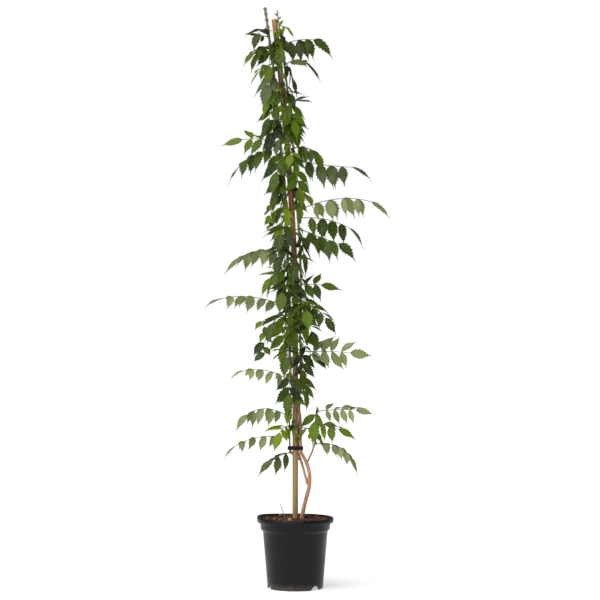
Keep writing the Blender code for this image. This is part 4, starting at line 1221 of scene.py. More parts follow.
@dataclass(frozen=True)
class Twiner:
    """A thin young stem that leaves the vine and winds round the column, with small leaves.

    They face away from the cane, or to one bearing where that is given.
    """

    low: float
    high: float
    bearing: float
    turn: float
    standoff: float
    leaflets: int = 8
    leaflet_size: float = 21.0
    facing: float | None = None
    radius: float = 0.85
    end_share: float = 0.55
    sway: float = 2.5
    sway_waves: float = 1.6
    join_share: float = 0.12
    leaflet_width: float = 0.52
    leaflet_hang: float = 0.7
    sides: int = 7
    tint: Point = (0.95, 0.5, 0.5)

    def path(self, line: Climber) -> Array:
        """Wind round the cane: the bearing grows evenly, and the start is drawn on to the vine.

        Args:
            line: the vine that it grows from.

        Returns:
            Points of its axis.
        """
        t = np.linspace(0.0, 1.0, 70)
        z = self.low + (self.high - self.low) * t
        away = self.standoff + self.sway * np.sin(TURN * self.sway_waves * t + self.bearing)
        wound = cane_axis(z) + away[:, None] * direction(self.bearing + self.turn * t)
        share = smoothstep(np.clip(t / self.join_share, 0.0, 1.0))[:, None]
        return line.axis(z) * (1 - share) + wound * share

    def stem(self, skin: Skin, line: Climber) -> None:
        """Add its stem, a thin tube that tapers evenly.

        Args:
            skin: the mesh that takes it.
            line: the vine that it grows from.
        """
        path = self.path(line)
        radius = self.radius * np.linspace(1.0, self.end_share, len(path))
        skin.add(rod(path, radius, self.sides), 2, self.tint)

    def leaf(self, blades: Blades, line: Climber, draw: np.random.Generator) -> None:
        """Hang small leaflets from it, to the left and the right by turns.

        Args:
            blades: the table that takes them.
            line: the vine that it grows from.
            draw: random numbers for places, sizes and tones.
        """
        path = self.path(line)
        for number in range(self.leaflets):
            share = (number + 1.0 + draw.uniform(-0.3, 0.3)) / (self.leaflets + 0.6)
            foot = path[int(share * (len(path) - 1))]
            out = direction(self.bearing + self.turn * share if self.facing is None else self.facing)
            side = np.cross(UP, out) * (1.0 if number % 2 else -1.0)
            along = side * draw.uniform(0.35, 0.95) + out * draw.uniform(0.2, 0.5)
            along = unit(along - UP * draw.uniform(0.1, 0.9))
            size = self.leaflet_size * draw.uniform(0.75, 1.2)
            tone = (draw.uniform(0.0, 0.8), draw.uniform(0.35, 0.85), 0.5)
            blades.add(foot, along, side, out, size, size * self.leaflet_width, self.leaflet_hang,
                       draw.uniform(-0.5, 0.5), tone)


MAIN_TWINERS = (
    Twiner(650, 800, -150, 100, 17), Twiner(790, 950, -110, 200, 13), Twiner(820, 1015, -40, -90, 15),
    Twiner(405, 560, -20, -150, 14), Twiner(470, 620, -70, 130, 15, 13), Twiner(470, 650, -130, 70, 22),
    Twiner(292, 352, 25, -75, 13, 9, 17), Twiner(900, 985, 35, -70, 14, 10, 24),
    Twiner(532, 452, -88, 10, 60, 7, 31, -15), Twiner(752, 704, -88, 6, 44, 9, 17, -10))
SECOND_TWINERS = (
    Twiner(660, 790, 150, -95, 14), Twiner(450, 640, 40, 160, 13), Twiner(500, 640, 50, -110, 15, 12),
    Twiner(940, 1070, 60, -110, 14), Twiner(470, 610, 70, 50, 20), Twiner(1030, 1095, -25, 60, 13, 10, 23),
    Twiner(812, 870, -25, 60, 14, 7, 24))
# Heights of the leafless nodes below the main vine's cut tip
BARE_NODES = (1096.0, 1109.0, 1121.0, 1130.5)
# Leaflets at the second vine's growing tip: height, bearing and length
TIP_LEAFLETS = ((1099.0, 70.0, 14.0), (1103.0, -95.0, 12.0), (1110.0, 100.0, 9.0), (1116.0, -70.0, 9.0),
                (1120.0, 50.0, 6.5))


@dataclass
class LeafyStem:
    """One stem with its buds, leaf stalks and leaflets, in one mesh."""

    name: str
    node: str
    leaves: list[Leaf]
    seed: int
    bare_nodes: tuple[float, ...] = ()
    tip_leaflets: tuple[Point, ...] = ()
    twiners: tuple[Twiner, ...] = ()
    finishes: tuple[Finish, ...] = (UPPER_FACE, LOWER_FACE, GreenShoot(), CutEnd(), LEAF_STALK)
    stem_sides: int = 14
    stalk_sides: int = 8
    stalk_rings: int = 30
    stalk_radius: tuple[float, float] = (0.95, 0.5)
    base_swelling: float = 0.9
    pair_swelling: float = 0.3
    groove: float = 0.28
    node_swelling: float = 0.2
    # lengths over which the swellings at a leaf foot, a pair and a node fade
    base_length: float = 2.2
    pair_length: float = 1.5
    node_length: float = 3.2
    groove_width: float = 0.5
    bud_height: float = 3.2
    bud_length: float = 2.0
    bud_radius: float = 1.1
    bud_gap: float = 0.5
    bare_bearings: tuple[float, float] = (85.0, -95.0)
    leaflet_angle: float = math.radians(58.0)
    leaflet_width: float = 0.57
    crowding: float = 1.1
    flat_twist: float = math.radians(13.0)
    hanging_twist: float = math.radians(-12.0)
    terminal_scale: float = 1.25
    drip_tip: float = 1.26
    weight: float = 1.4
    # how much the leaflets of one leaf differ
    angle_spread: float = 0.13
    twist_spread: float = 0.24
    size_span: tuple[float, float] = (0.86, 1.1)
    width_span: tuple[float, float] = (0.84, 1.02)
    hang_span: tuple[float, float] = (0.7, 1.35)

    def __post_init__(self) -> None:
        """Find the stem's axis, and start the mesh, the leaflets and the random numbers."""
        self.line = STEMS[self.node]
        self.skin, self.blades = Skin(), Blades([])
        self.draw = np.random.default_rng(self.seed)

    def stem(self) -> None:
        """Add the stem, with rings that swell where a leaf grows, and the twiners' stems."""
        path = self.line.path()
        z = path[:, 2]
        nodes = np.array([leaf.height for leaf in self.leaves] + list(self.bare_nodes))
        swell = bell(z[:, None] - nodes, self.node_length).max(axis=1) * self.node_swelling
        tubes = rod(path, self.line.radius(z) * (1.0 + swell), self.stem_sides)
        slots = np.full(len(tubes.sides), 2)
        slots[-self.stem_sides:] = 3
        self.skin.add(tubes, slots)
        for twiner in self.twiners:
            twiner.stem(self.skin, self.line)

    def stalks(self) -> None:
        """Add the leaf stalks: grooved round rings along each midline, thick at the foot."""
        share = np.linspace(0.0, 1.0, self.stalk_rings) ** 1.15
        angle = angles(self.stalk_sides)
        groove = 1.0 - self.groove * bell(angle - math.pi / 2, self.groove_width)
        for leaf in self.leaves:
            points, tangent, side, _ = leaf.midline(self.line.axis(leaf.height), share)
            foot = share * leaf.reach - float(self.line.radius(leaf.height))
            pairs = bell((share[:, None] - leaf.places) * leaf.reach, self.pair_length).max(axis=1)
            radius = (np.interp(share, (0.0, 1.0), self.stalk_radius)
                      + self.base_swelling * bell(foot, self.base_length) + self.pair_swelling * pairs)
            ring = circle(angle, side, np.cross(side, tangent))
            rings = points[:, None] + ring * (radius[:, None] * groove)[..., None]
            self.skin.add(closed_tubes(rings[None], points[:1], points[-1:]), 4)

    def buds(self) -> None:
        """Add a bud above each leaf foot, and two at each bare node: egg forms pressed to the stem."""
        bare = list(self.bare_nodes)
        height = np.array([leaf.height + self.bud_height for leaf in self.leaves] + 2 * bare)
        bearing = [leaf.bearing for leaf in self.leaves] + np.repeat(self.bare_bearings, len(bare)).tolist()
        out = direction(np.array(bearing))
        centre = self.line.axis(height) + out * (self.line.radius(height)[:, None] + self.bud_gap)
        shape = np.roll(egg(5, 6), -1, axis=-1) * (self.bud_radius, self.bud_radius, self.bud_length)
        pole = UP * self.bud_length
        self.skin.add(closed_tubes(centre[:, None, None] + shape, centre + pole, centre - pole), 2)

    def leaflets(self, leaf: Leaf) -> None:
        """Note the leaflets of a leaf: its pairs, then the longer one at its end.

        Args:
            leaf: the leaf.
        """
        draw = self.draw
        light, hue = leaf.tone.value
        shares = np.append(leaf.places, 1.0)
        points, tangent, side, upper = leaf.midline(self.line.axis(leaf.height), shares)
        spacing = leaf.reach * leaf.spacing
        twist = self.hanging_twist if leaf.hanging else self.flat_twist
        for k in range(leaf.pairs):
            middle = leaf.size * (0.82 + 0.18 * math.sin(math.pi * (k + 0.5) / leaf.pairs))
            for hand in (1.0, -1.0):
                angle = self.leaflet_angle + draw.normal(0.0, self.angle_spread)
                along = math.cos(angle) * tangent[k] + math.sin(angle) * side[k] * hand
                size = middle * draw.uniform(*self.size_span)
                width = min(size * self.leaflet_width, self.crowding * spacing)
                width = width * draw.uniform(*self.width_span)
                tint = (light + draw.uniform(-0.2, 0.2), hue + draw.uniform(-0.1, 0.1), draw.uniform())
                foot = points[k] + side[k] * hand * 0.4 + tangent[k] * draw.uniform(-1.2, 1.2)
                hang = (leaf.hang * self.weight + 0.15) * draw.uniform(*self.hang_span)
                self.blades.add(foot, along, tangent[k], upper[k], size * self.drip_tip, width, hang,
                                twist + draw.normal(0.0, self.twist_spread), tint)
        tint = (light + draw.uniform(-0.1, 0.2), hue + draw.uniform(-0.05, 0.15), draw.uniform())
        back = min(4.5, 0.45 * spacing)
        self.blades.add(points[-1] - tangent[-1] * back, tangent[-1], side[-1], upper[-1],
                        leaf.size * self.terminal_scale + back - 0.2, leaf.size * self.leaflet_width,
                        leaf.hang * 0.4, draw.normal(0.0, 0.2), tint)

    def tip(self) -> None:
        """Note the small leaflets of the growing tip, which stand up and out."""
        for height, bearing, size in self.tip_leaflets:
            out = direction(bearing)
            along = unit(0.62 * out + 0.78 * UP)
            upper = np.cross(np.cross(out, UP), along)
            self.blades.add(self.line.axis(height) + out * 0.8, along, UP, upper, size, size * 0.4, 0.2,
                            self.draw.uniform(-0.6, 0.6), (0.5, 0.6, 0.5))

    def build(self) -> None:
        """Build the leafy stem; its random numbers go to leaf after leaf, tip, twiners and shapes."""
        self.stem()
        self.stalks()
        self.buds()
        for leaf in self.leaves:
            self.leaflets(leaf)
        self.tip()
        for twiner in self.twiners:
            twiner.leaf(self.blades, self.line, self.draw)
        shells, tint = self.blades.shells(self.draw)
        self.skin.add(shells, shells.sides, tint)
        self.skin.piece(self.name, self.finishes, "leaf_green", self.node, sharp=60.0)


# Pot, soil, cane, wood and ties

@dataclass
class Pot:
    """Moulded nursery pot: tapered wall, collar, rolled lip and a foot ring with three notches."""

    finish: Finish = BlackPlastic("black polypropylene, moulded")
    segments: int = 144
    base_top: float = 9.8
    lip_bottom: float = 126.0
    lip_rise: float = 10.0
    lip_lift: float = 3.5
    lip_lift_bearing: float = -98.0
    lip_lift_spread: float = 34.0
    lip_wave: float = 0.35
    notch_radius: float = 12.0
    notch_drop: float = 3.5
    notch_reach: tuple[float, float] = (44.0, 62.0)
    notch_bearings: tuple[float, ...] = (47.0, 167.0, 287.0)
    sharp: float = 40.0
    # radius, height and rounding of each corner, from the middle pad up the outside and down inside
    corners: tuple[Point, ...] = (
        (15.0, 0.0, 0.8), (16.5, 8.0, 0.8), (50.8, 8.0, 0.8), (51.6, 0.0, 0.6), (54.0, 0.0, 1.0),
        (63.2, 111.0, 2.0), (67.6, 115.0, 2.0), (68.6, 127.6, 0.8), (73.6, 127.8, 1.4), (74.9, 130.0, 1.6),
        (74.9, 136.2, 1.7), (73.0, 138.0, 1.6), (69.8, 137.4, 1.8), (66.9, 131.0, 2.5), (66.0, 115.8, 2.0),
        (61.4, 111.8, 2.0), (52.8, 9.8, 2.0))

    def profile(self) -> Array:
        """Round each corner of the outline by a quadratic curve between points on its two sides.

        Returns:
            (n, 2) radii and heights.
        """
        corners = np.array(self.corners)
        points, reach = corners[:, :2], corners[:, 2:]
        before = np.vstack([[0.0, 0.0], points[:-1]])
        after = np.vstack([points[1:], [0.0, self.base_top]])
        start = points + unit(before - points) * reach
        end = points + unit(after - points) * reach
        t = np.linspace(0.0, 1.0, 5)[None, :, None]
        curve = start[:, None] * (1 - t) ** 2 + 2 * points[:, None] * t * (1 - t) + end[:, None] * t ** 2
        return curve.reshape(-1, 2)

    def cut_notch(self, pot: Object, bearing: float) -> None:
        """Cut a drain notch out of the foot by a level round bar.

        Args:
            pot: the pot.
            bearing: where the notch is.
        """
        out = direction(bearing)
        path = np.array([out * reach for reach in self.notch_reach]) - UP * self.notch_drop
        ring = circle(angles(40), np.cross(UP, out), UP)
        tool = Skin()
        tool.add(closed_tubes((path[:, None] + ring * self.notch_radius)[None], path[:1], path[1:]))
        cutter = put("notch_cutter", tool.mesh("notch_cutter", (self.finish,), self.sharp))
        cut = pot.modifiers.new("notch", "BOOLEAN")
        cut.operation, cut.object, cut.solver = "DIFFERENCE", cutter, "EXACT"
        shape = pot.evaluated_get(bpy.context.evaluated_depsgraph_get())
        mesh = bpy.data.meshes.new_from_object(shape)
        pot.modifiers.remove(cut)
        pot.data = mesh
        bpy.data.objects.remove(cutter, do_unlink=True)

    def build(self) -> None:
        """Turn the profile about Z, bend the lip up by a bell curve, wave it and cut the notches."""
        profile, angle = self.profile(), angles(self.segments)
        radius, height = profile[:, :1], profile[:, 1:]
        lip = np.clip((height - self.lip_bottom) / self.lip_rise, 0.0, 1.0)
        away = (np.degrees(angle) + 90.0 - self.lip_lift_bearing + 180.0) % 360.0 - 180.0
        wave = self.lip_wave * lip * (np.sin(3 * angle + 0.7) + 0.6 * np.sin(5 * angle + 2.0)) - 0.3 * lip
        height = height + wave + self.lip_lift * lip * bell(away, self.lip_lift_spread)
        rings = joined(radius * np.cos(angle), radius * np.sin(angle), height)[None]
        skin = Skin()
        skin.add(closed_tubes(rings, np.zeros((1, 3)), self.base_top * UP[None]))
        pot = skin.piece("pot_moulding", (self.finish,), "black_plastic", "pot", sharp=self.sharp)
        for bearing in self.notch_bearings:
            self.cut_notch(pot, bearing)
        pot.data.set_sharp_from_angle(angle=math.radians(self.sharp))


@dataclass
class Soil:
    """Potting mix: a crumbly bed with bark chips and coir threads on it."""

    bed_finish: Finish = Loose("damp potting mix", "#180B07", "#391D15", "#6A422A", 300.0)
    litter_finish: Finish = Loose("chopped bark and coir", "#22110B", "#5C3422", "#B48A60", 500.0)
    top: float = 134.5
    bump: float = 1.2
    edge_radius: float = 65.4
    rings: int = 64
    segments: int = 180
    bottom: float = 10.6
    # radius and height of the rings down the pot's wall
    wall: tuple[tuple[float, float], ...] = (
        (64.9, 130.0), (64.6, 116.0), (60.6, 111.5), (51.6, 12.0), (50.0, 10.6))
    # width, height, two shifts and seed of the crumbs
    crumbs: tuple[tuple[float, ...], ...] = (
        (7.0, 1.0, 31, 17, 3), (3.0, 0.6, 9, 40, 4), (1.6, 0.35, 50, 50, 5))
    chips: int = 420
    chip_reach: float = 62.0
    chip_length: tuple[float, float] = (1.3, 8.0)
    # breadth and height as shares of the length, knobs as shares of both, tilt in radians
    chip_breadth: tuple[float, float] = (0.3, 0.7)
    chip_height: tuple[float, float] = (0.1, 0.24)
    chip_knobs: tuple[float, float] = (0.7, 1.2)
    chip_tilt: float = 0.45
    threads: int = 46
    thread_reach: float = 58.0
    thread_limit: float = 61.0
    thread_radius: float = 0.32
    thread_half: tuple[float, float] = (5.0, 13.0)
    thread_shade: tuple[float, float] = (0.35, 0.95)
    pale_spot: tuple[float, float] = (-32.0, -34.0)
    pale_radius: float = 26.0
    # place and radius of what the litter keeps off
    keep_off: tuple[Point, ...] = ((0.0, 0.0, 7.5), (12.0, -5.0, 6.5))

    def height(self, x: Array, y: Array) -> Array:
        """Height of the bed: the part's two low waves, plus crumbs of 7, 3 and 1.6 mm.

        Args:
            x: places to the right.
            y: places to the back.

        Returns:
            Heights of the same shape.
        """
        waves = np.sin(x / 9.0 + 0.6) * np.cos(y / 11.0) + 0.6 * np.sin((x + 1.7 * y) / 6.5)
        hills = sum(height * value_noise(x / width + right, y / width + back, seed)
                    for width, height, right, back, seed in self.crumbs)
        return self.top + self.bump * waves + hills

    def bed(self) -> None:
        """Build the bed: a polar grid under the height formula, closed down the pot's wall."""
        share, angle = np.linspace(0.03, 1.0, self.rings)[:, None], angles(self.segments)
        x, y = self.edge_radius * share * np.cos(angle), self.edge_radius * share * np.sin(angle)
        radius, height = np.array(self.wall).T[..., None]
        wall = joined(radius * np.cos(angle), radius * np.sin(angle), height)
        rings = np.concatenate([joined(x, y, self.height(x, y)), wall])[None]
        skin = Skin()
        skin.add(closed_tubes(rings, self.top * UP[None], self.bottom * UP[None]), tint=(0.34, 0.5, 0.5))
        skin.piece("soil_bed", (self.bed_finish,), "potting_mix", "soil", sharp=80.0)

    def spots(self, draw: np.random.Generator, count: int, reach: float) -> Array:
        """Draw places on the bed that keep off the cane and the stem.

        Args:
            draw: random numbers.
            count: how many places are drawn first.
            reach: farthest distance from the middle.

        Returns:
            (n, 2) places.
        """
        radius, angle = reach * np.sqrt(draw.uniform(0, 1, count)), draw.uniform(0, TURN, count)
        spots = joined(radius * np.cos(angle), radius * np.sin(angle))
        clear = [np.hypot(spots[:, 0] - x, spots[:, 1] - y) > r for x, y, r in self.keep_off]
        return spots[np.logical_and.reduce(clear)]

    def scatter_chips(self, skin: Skin, draw: np.random.Generator) -> None:
        """Add bark chips: flattened, knobbly egg forms lying on the bed at chance angles.

        Args:
            skin: the mesh that takes them.
            draw: random numbers.
        """
        spots = self.spots(draw, self.chips, self.chip_reach)
        count, ball = len(spots), egg(4, 6)
        knobs = ball * draw.uniform(*self.chip_knobs, (count, *ball.shape[:2], 1))
        length = draw.gamma(3.0, 0.95, count).clip(*self.chip_length)
        breadth = length * draw.uniform(*self.chip_breadth, count)
        size = joined(length, breadth, length * draw.uniform(*self.chip_height, count))
        yaw, tilt = draw.uniform(0, TURN, count), draw.uniform(-self.chip_tilt, self.chip_tilt, count)
        along = joined(np.cos(yaw) * np.cos(tilt), np.sin(yaw) * np.cos(tilt), np.sin(tilt))
        side = joined(-np.sin(yaw), np.cos(yaw), 0.0)
        axes = np.stack([along, side, np.cross(along, side)], axis=1) * size[..., None]
        lift = self.height(*spots.T) + size[:, 2] * 0.6 + np.abs(np.sin(tilt)) * length * 0.35
        centre = np.column_stack([spots, lift])
        rings = centre[:, None, None] + np.einsum("nrck,nkj->nrcj", knobs, axes)
        near = bell(np.hypot(*(spots - self.pale_spot).T), self.pale_radius)
        shade = np.repeat(draw.beta(1.6, 2.9, count) + 0.28 * near, ball[..., 0].size)
        shade = np.concatenate([shade, np.full(2 * count, 0.35)])
        chips = closed_tubes(rings, centre + axes[:, 0], centre - axes[:, 0])
        skin.add(chips, tint=joined(shade, shade, shade))

    def scatter_threads(self, skin: Skin, draw: np.random.Generator) -> None:
        """Add coir threads: thin bent tubes that arch over the bed.

        Args:
            skin: the mesh that takes them.
            draw: random numbers.
        """
        t = np.linspace(-1.0, 1.0, 9)
        for x, y in self.spots(draw, self.threads, self.thread_reach):
            turn, reach = draw.uniform(0, TURN), draw.uniform(*self.thread_half)
            bend = turn + draw.uniform(-1.0, 1.0) * t
            x, y = x + reach * t * np.cos(bend), y + reach * t * np.sin(bend)
            inside = np.minimum(1.0, self.thread_limit / np.hypot(x, y))
            x, y = x * inside, y * inside
            path = joined(x, y, self.height(x, y) + 0.5 + 1.2 * (1 - t ** 2) * draw.uniform(0, 1))
            thread = rod(path, self.thread_radius * (1.15 - t ** 2), 5)
            skin.add(thread, tint=(draw.uniform(*self.thread_shade),) * 3)

    def build(self) -> None:
        """Build the bed, then the litter on it."""
        self.bed()
        skin, draw = Skin(), np.random.default_rng(SEED)
        self.scatter_chips(skin, draw)
        self.scatter_threads(skin, draw)
        skin.piece("bark_litter", (self.litter_finish,), "potting_mix", sharp=35.0)


@dataclass
class Cane:
    """Bamboo cane: a round culm with a scar ring and a ridge at each node, sawn off square."""

    finishes: tuple[Finish, ...] = (Bamboo(), CutEnd())
    radius: float = 5.5
    bottom: float = 14.0
    first_node: float = 54.0
    node_spacing: float = 205.0
    bore_radius: float = 2.7
    bore_depth: float = 9.0
    flute_depth: float = 0.012
    node_reach: tuple[float, float] = (-7.0, 9.0)
    # height of the sawn lip over the last ring, and its share of the radius
    lip_rise: float = 0.25
    lip_share: float = 0.96
    sides: int = 32
    # how far a node's rings stand out, where, and how wide they are
    node_rings: tuple[Point, ...] = ((0.5, 0.0, 0.8), (-0.3, 1.9, 0.8), (0.55, 4.4, 2.2))

    def build(self) -> None:
        """Carry the culm's radius up its leaning axis.

        At a node the radius adds a thin scar ring, a groove above it and a broad ridge,
        each a bell curve in height. At the top the rings turn in and down into the bore.
        """
        nodes = np.arange(self.first_node, CANE_TOP - 20.0, self.node_spacing)
        near = (nodes[:, None] + np.linspace(*self.node_reach, 33)).ravel()
        z = np.unique(np.concatenate([np.linspace(self.bottom, CANE_TOP, 90), near]))
        away = z[:, None] - nodes
        swell = sum(out * bell(away - up, width) for out, up, width in self.node_rings).sum(axis=1)
        path = cane_axis(z)
        grooved = self.flute_depth * np.sin(3 * angles(self.sides, 0.5) + 1.0)
        rings = swept(path, self.radius + swell, self.sides, grooved)[0]
        inward = unit(path[-1] - path[-2])
        bore = self.bore_radius / self.radius
        ends = ((self.lip_share, self.lip_rise), (bore, self.lip_rise), (bore, -self.bore_depth))
        lip = [path[-1] + (rings[-1] - path[-1]) * share + inward * rise for share, rise in ends]
        rings = np.concatenate([rings, np.stack(lip)])[None]
        tubes = closed_tubes(rings, path[:1], path[-1:] - inward * self.bore_depth)
        slots = np.zeros(len(tubes.sides), int)
        quads = (rings.shape[1] - 1) * self.sides
        slots[quads - 3 * self.sides:quads] = 1
        slots[-self.sides:] = 1
        skin = Skin()
        skin.add(tubes, slots)
        skin.piece("cane_culm", self.finishes, "bamboo", "bamboo_cane", sharp=55.0)


@dataclass
class WoodyStem:
    """The tan base of the vine: a crooked trunk and the thinner branch that leaves its fork."""

    finish: Finish = Bark("young bark", "#A0714F", "#BC8F6C", "#6E4A34")
    trunk: tuple[Point, ...] = ((12, -3, 62), (12, -4, 100), (12, -5, 130), (16, -5, 154), (22, -5.5, 178),
                                (26.5, -5, 195), (28, -4.5, 212), (26.5, -4, 230), (19.5, -3, 250))
    branch: tuple[Point, ...] = ((25, -4, 203), (20, 1, 217), (15.5, 4, 233), (10.5, 6.5, 250))
    join_height: float = 264.0
    trunk_radius: tuple[float, float] = (4.2, 3.2)
    branch_radius: float = 2.3
    collar: float = 1.3
    collar_height: float = 9.0
    scars: tuple[float, ...] = (151.0, 182.0, 214.0, 243.0, 268.0)
    scar_height: float = 2.2
    scar_share: float = 0.09
    sides: int = 22

    def add(self, skin: Skin, path: Array, radius: Array, seed: int) -> None:
        """Add a round stem with bark relief: hills narrow round the stem and long along it.

        Args:
            skin: the mesh that takes it.
            path: (n, 3) points of its axis.
            radius: (n,) radii.
            seed: chooses the hills.
        """
        along, around = np.arange(len(path))[:, None] / 5.0, np.arange(self.sides) * 64.0 / self.sides
        along, around = np.broadcast_arrays(along, around)
        ridges = (0.05 * value_noise(around, along, seed)
                  + 0.03 * value_noise(around / 3.0, along * 1.7, seed + 1))
        skin.add(rod(path, radius, self.sides, ridges))

    def build(self) -> None:
        """Carry both stems up to the first tie.

        Leaf scars are low rings on the trunk, and the branch is thicker where it starts
        inside the fork.
        """
        top, skin = np.linspace(self.join_height, WOOD_TOP, 7), Skin()
        path = np.vstack([smooth_path(self.trunk, 10), STEMS["main_vine"].axis(top)])
        scar = bell(path[:, 2:] - np.array(self.scars), self.scar_height).max(axis=1) * self.scar_share
        self.add(skin, path, np.linspace(*self.trunk_radius, len(path)) * (1.0 + scar), 21)
        path = np.vstack([smooth_path(self.branch, 10), STEMS["second_vine"].axis(top)])
        collar = self.collar * bell(path[:, 2] - self.branch[0][2], self.collar_height)
        self.add(skin, path, self.branch_radius + collar, 31)
        skin.piece("wood_base", (self.finish,), "young_bark", "woody_stem", sharp=80.0)


@dataclass
class Tie:
    """One black band round the cane and both vines, pinched together to a tail."""

    number: int
    height: float
    tail: float
    finish: Finish = BlackPlastic("black plastic band, extruded", roughness=0.5)
    width: float = 7.0
    thickness: float = 1.3
    slack: float = 0.6
    cane_radius: float = 5.8
    tail_reach: float = 13.0
    tail_radius: float = 1.0
    rounding: float = 0.45

    def build(self) -> None:
        """Shape the band.

        For each bearing the band follows whichever round thing inside it reaches out
        farthest that way, and a rounded oblong section is carried round that line. The
        section is a circle whose sine and cosine are raised to a power below one.
        """
        turn = angles(14)
        across, up = (np.sign(wave) * np.abs(wave) ** self.rounding for wave in (np.cos(turn), np.sin(turn)))
        z = self.height + self.width / 2 * up
        margin = self.slack + self.thickness / 2 * (1.0 + across)
        out = direction(np.linspace(0.0, 360.0, 96, endpoint=False))
        axis, vines = cane_axis(z), [STEMS[vine] for vine in VINES]
        tail = axis + self.tail_reach * direction(self.tail)
        centres = np.stack([axis, *(vine.axis(z) for vine in vines), tail])
        radii = (self.cane_radius, *(vine.radius(z) for vine in vines), self.tail_radius)
        radii = np.stack(np.broadcast_arrays(*radii))
        support = np.einsum("czk,bk->cbz", centres, out) + radii[:, None]
        best, column = support.argmax(axis=0), np.arange(len(z))
        rings = centres[best, column] + out[:, None] * (radii[best, column] + margin)[..., None]
        faces = grid_quads(*rings.shape[:2], wrap_rows=True, wrap_columns=True)
        points, skin = rings.reshape(-1, 3), Skin()
        skin.add(Shells(points, [faces], np.zeros((len(points), 2)), np.zeros(len(faces), int)))
        skin.piece(f"tie_band_{self.number}", (self.finish,), "tie_rubber", f"tie_{self.number}", sharp=60.0)


@dataclass
class Twig:
    """The dead twig at the left, stuck in the soil."""

    finishes: tuple[Finish, ...] = (Bark("dry twig bark", "#7D6A55", "#A8967C", "#4C3B2C"), CutEnd())
    points: tuple[Point, ...] = ((-16, -12, 112), (-19, -13, 134), (-24, -14, 150), (-30, -14, 165))
    radii: tuple[float, ...] = (1.1, 1.0, 0.9, 0.7)
    knot_spacing: float = 9.0
    sides: int = 10

    def build(self) -> None:
        """Build the twig: round rings along a curve, with even knots."""
        path = smooth_path(self.points, 14)
        radius = np.interp(np.linspace(0, 3, len(path)), range(4), self.radii)
        radius = radius * (0.92 + 0.14 * np.cos(path[:, 2] * TURN / self.knot_spacing) ** 6)
        tubes = rod(path, radius, self.sides)
        slots = np.zeros(len(tubes.sides), int)
        slots[-self.sides:] = 1
        skin = Skin()
        skin.add(tubes, slots)
        skin.piece("twig_dead", self.finishes, "dry_twig", "dry_twig")


@dataclass
class Tag:
    """The black tag at the back, stuck in the soil."""

    finish: Finish = BlackPlastic("black polystyrene, punched", roughness=0.36)
    low: Point = (30.0, 40.0, 100.0)
    high: Point = (41.0, 41.2, 139.5)
    corner: float = 2.5
    half_thickness: float = 0.55

    def build(self) -> None:
        """Build the tag: a flat sheet with round top corners."""
        low, high = np.array(self.low), np.array(self.high)
        v, rise = np.linspace(-1.0, 1.0, 13), np.linspace(0.0, 1.0, 24)[:, None]
        half = (high[0] - low[0]) / 2
        past = np.clip((np.abs(v) * half - half + self.corner) / self.corner, 0.0, 1.0)
        top = high[2] - self.corner * (1.0 - np.sqrt(1.0 - past ** 2))
        middle = joined(low[0] + half * (1 + v), (low[1] + high[1]) / 2, low[2] + (top - low[2]) * rise)[None]
        normal = np.broadcast_to(np.array([0.0, -1.0, 0.0]), middle.shape)
        skin = Skin()
        skin.add(closed_sheets(middle, normal, self.half_thickness, joined(rise, (v + 1) / 2)))
        skin.piece("tag_blade", (self.finish,), "tag_plastic", "plant_tag")


# Studio

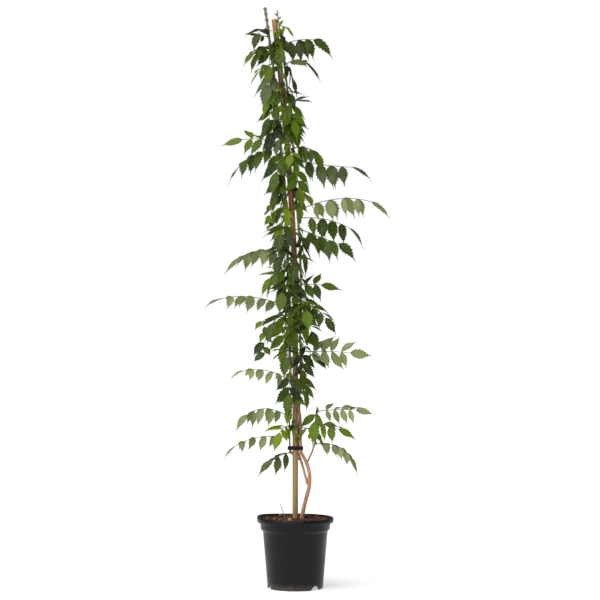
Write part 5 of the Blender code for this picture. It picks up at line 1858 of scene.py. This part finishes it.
@dataclass
class Studio:
    """White paper floor, even white surroundings, a soft key light and the camera."""

    camera_spot: Point = (0.0092, -4.2, 0.6)
    lens: float = 129.0
    sensor: float = 36.0
    shift: float = (0.562 - 0.6) / 1.17
    floor_radius: float = 40.0
    fill: float = 0.25
    key_power: float = 3.5
    key_spread: float = 85.0
    key_turn: tuple[float, float] = (42.0, -38.0)

    def floor(self) -> None:
        """Lay the floor: a wide flat square at z = 0."""
        mesh = bpy.data.meshes.new("paper_floor")
        square = ((-1, -1), (1, -1), (1, 1), (-1, 1))
        mesh.from_pydata([(self.floor_radius * x, self.floor_radius * y, 0.0) for x, y in square], [],
                         [(0, 1, 2, 3)])
        mesh.materials.append(StudioPaper().make())
        put("paper_floor", mesh)

    def light(self) -> None:
        """Set the white cyclorama, dimmer as a lamp than it looks, and a wide soft key light.

        The key comes from the upper left front.
        """
        world = bpy.data.worlds.new("white studio")
        world.use_nodes = True
        seen = add_node(world.node_tree, "ShaderNodeLightPath", output="Is Camera Ray")
        level = add_node(world.node_tree, "ShaderNodeMapRange", {0: seen, 3: self.fill, 4: 1.0})
        feed(world.node_tree.nodes["Background"], {"Color": WHITE, "Strength": level})
        bpy.context.scene.world = world
        lamp = bpy.data.lights.new("key", "SUN")
        lamp.energy, lamp.angle = self.key_power, math.radians(self.key_spread)
        tilt, turn = map(math.radians, self.key_turn)
        put("key", lamp).rotation_euler = (tilt, 0.0, turn)

    def camera(self) -> None:
        """Set the camera level with the plant's middle, as the photograph was taken."""
        data = bpy.data.cameras.new("camera")
        data.lens, data.sensor_width, data.shift_y = self.lens, self.sensor, self.shift
        item = put("camera", data)
        item.location = self.camera_spot
        item.rotation_euler = (math.radians(90.0), 0.0, 0.0)
        bpy.context.scene.camera = item

    def build(self) -> None:
        """Set up everything that isn't part of the object."""
        bpy.context.scene.view_settings.view_transform = "Standard"
        self.camera()
        self.light()
        self.floor()


def main() -> None:
    """Build every piece in order."""
    logging.basicConfig(level=logging.INFO, format="%(name)s %(message)s")
    for assembly in (Studio(), Pot(), Soil(), Cane(), WoodyStem(), Twig(), Tag()):
        assembly.build()
    for number, (height, tail) in enumerate(zip(TIE_HEIGHTS, TIE_TAILS), start=1):
        Tie(number, height, tail).build()
    held = Planting().leaves()
    for foliage in (LeafyStem("main_vine_foliage", "main_vine", held["main_vine"], 101,
                              bare_nodes=BARE_NODES, twiners=MAIN_TWINERS),
                    LeafyStem("second_vine_foliage", "second_vine", held["second_vine"], 102,
                              tip_leaflets=TIP_LEAFLETS, twiners=SECOND_TWINERS),
                    LeafyStem("low_right_foliage", "low_right_shoot", held["low_right_shoot"], 103),
                    LeafyStem("low_left_foliage", "low_left_shoot", held["low_left_shoot"], 104)):
        foliage.build()


if __name__ == "__main__":
    main()
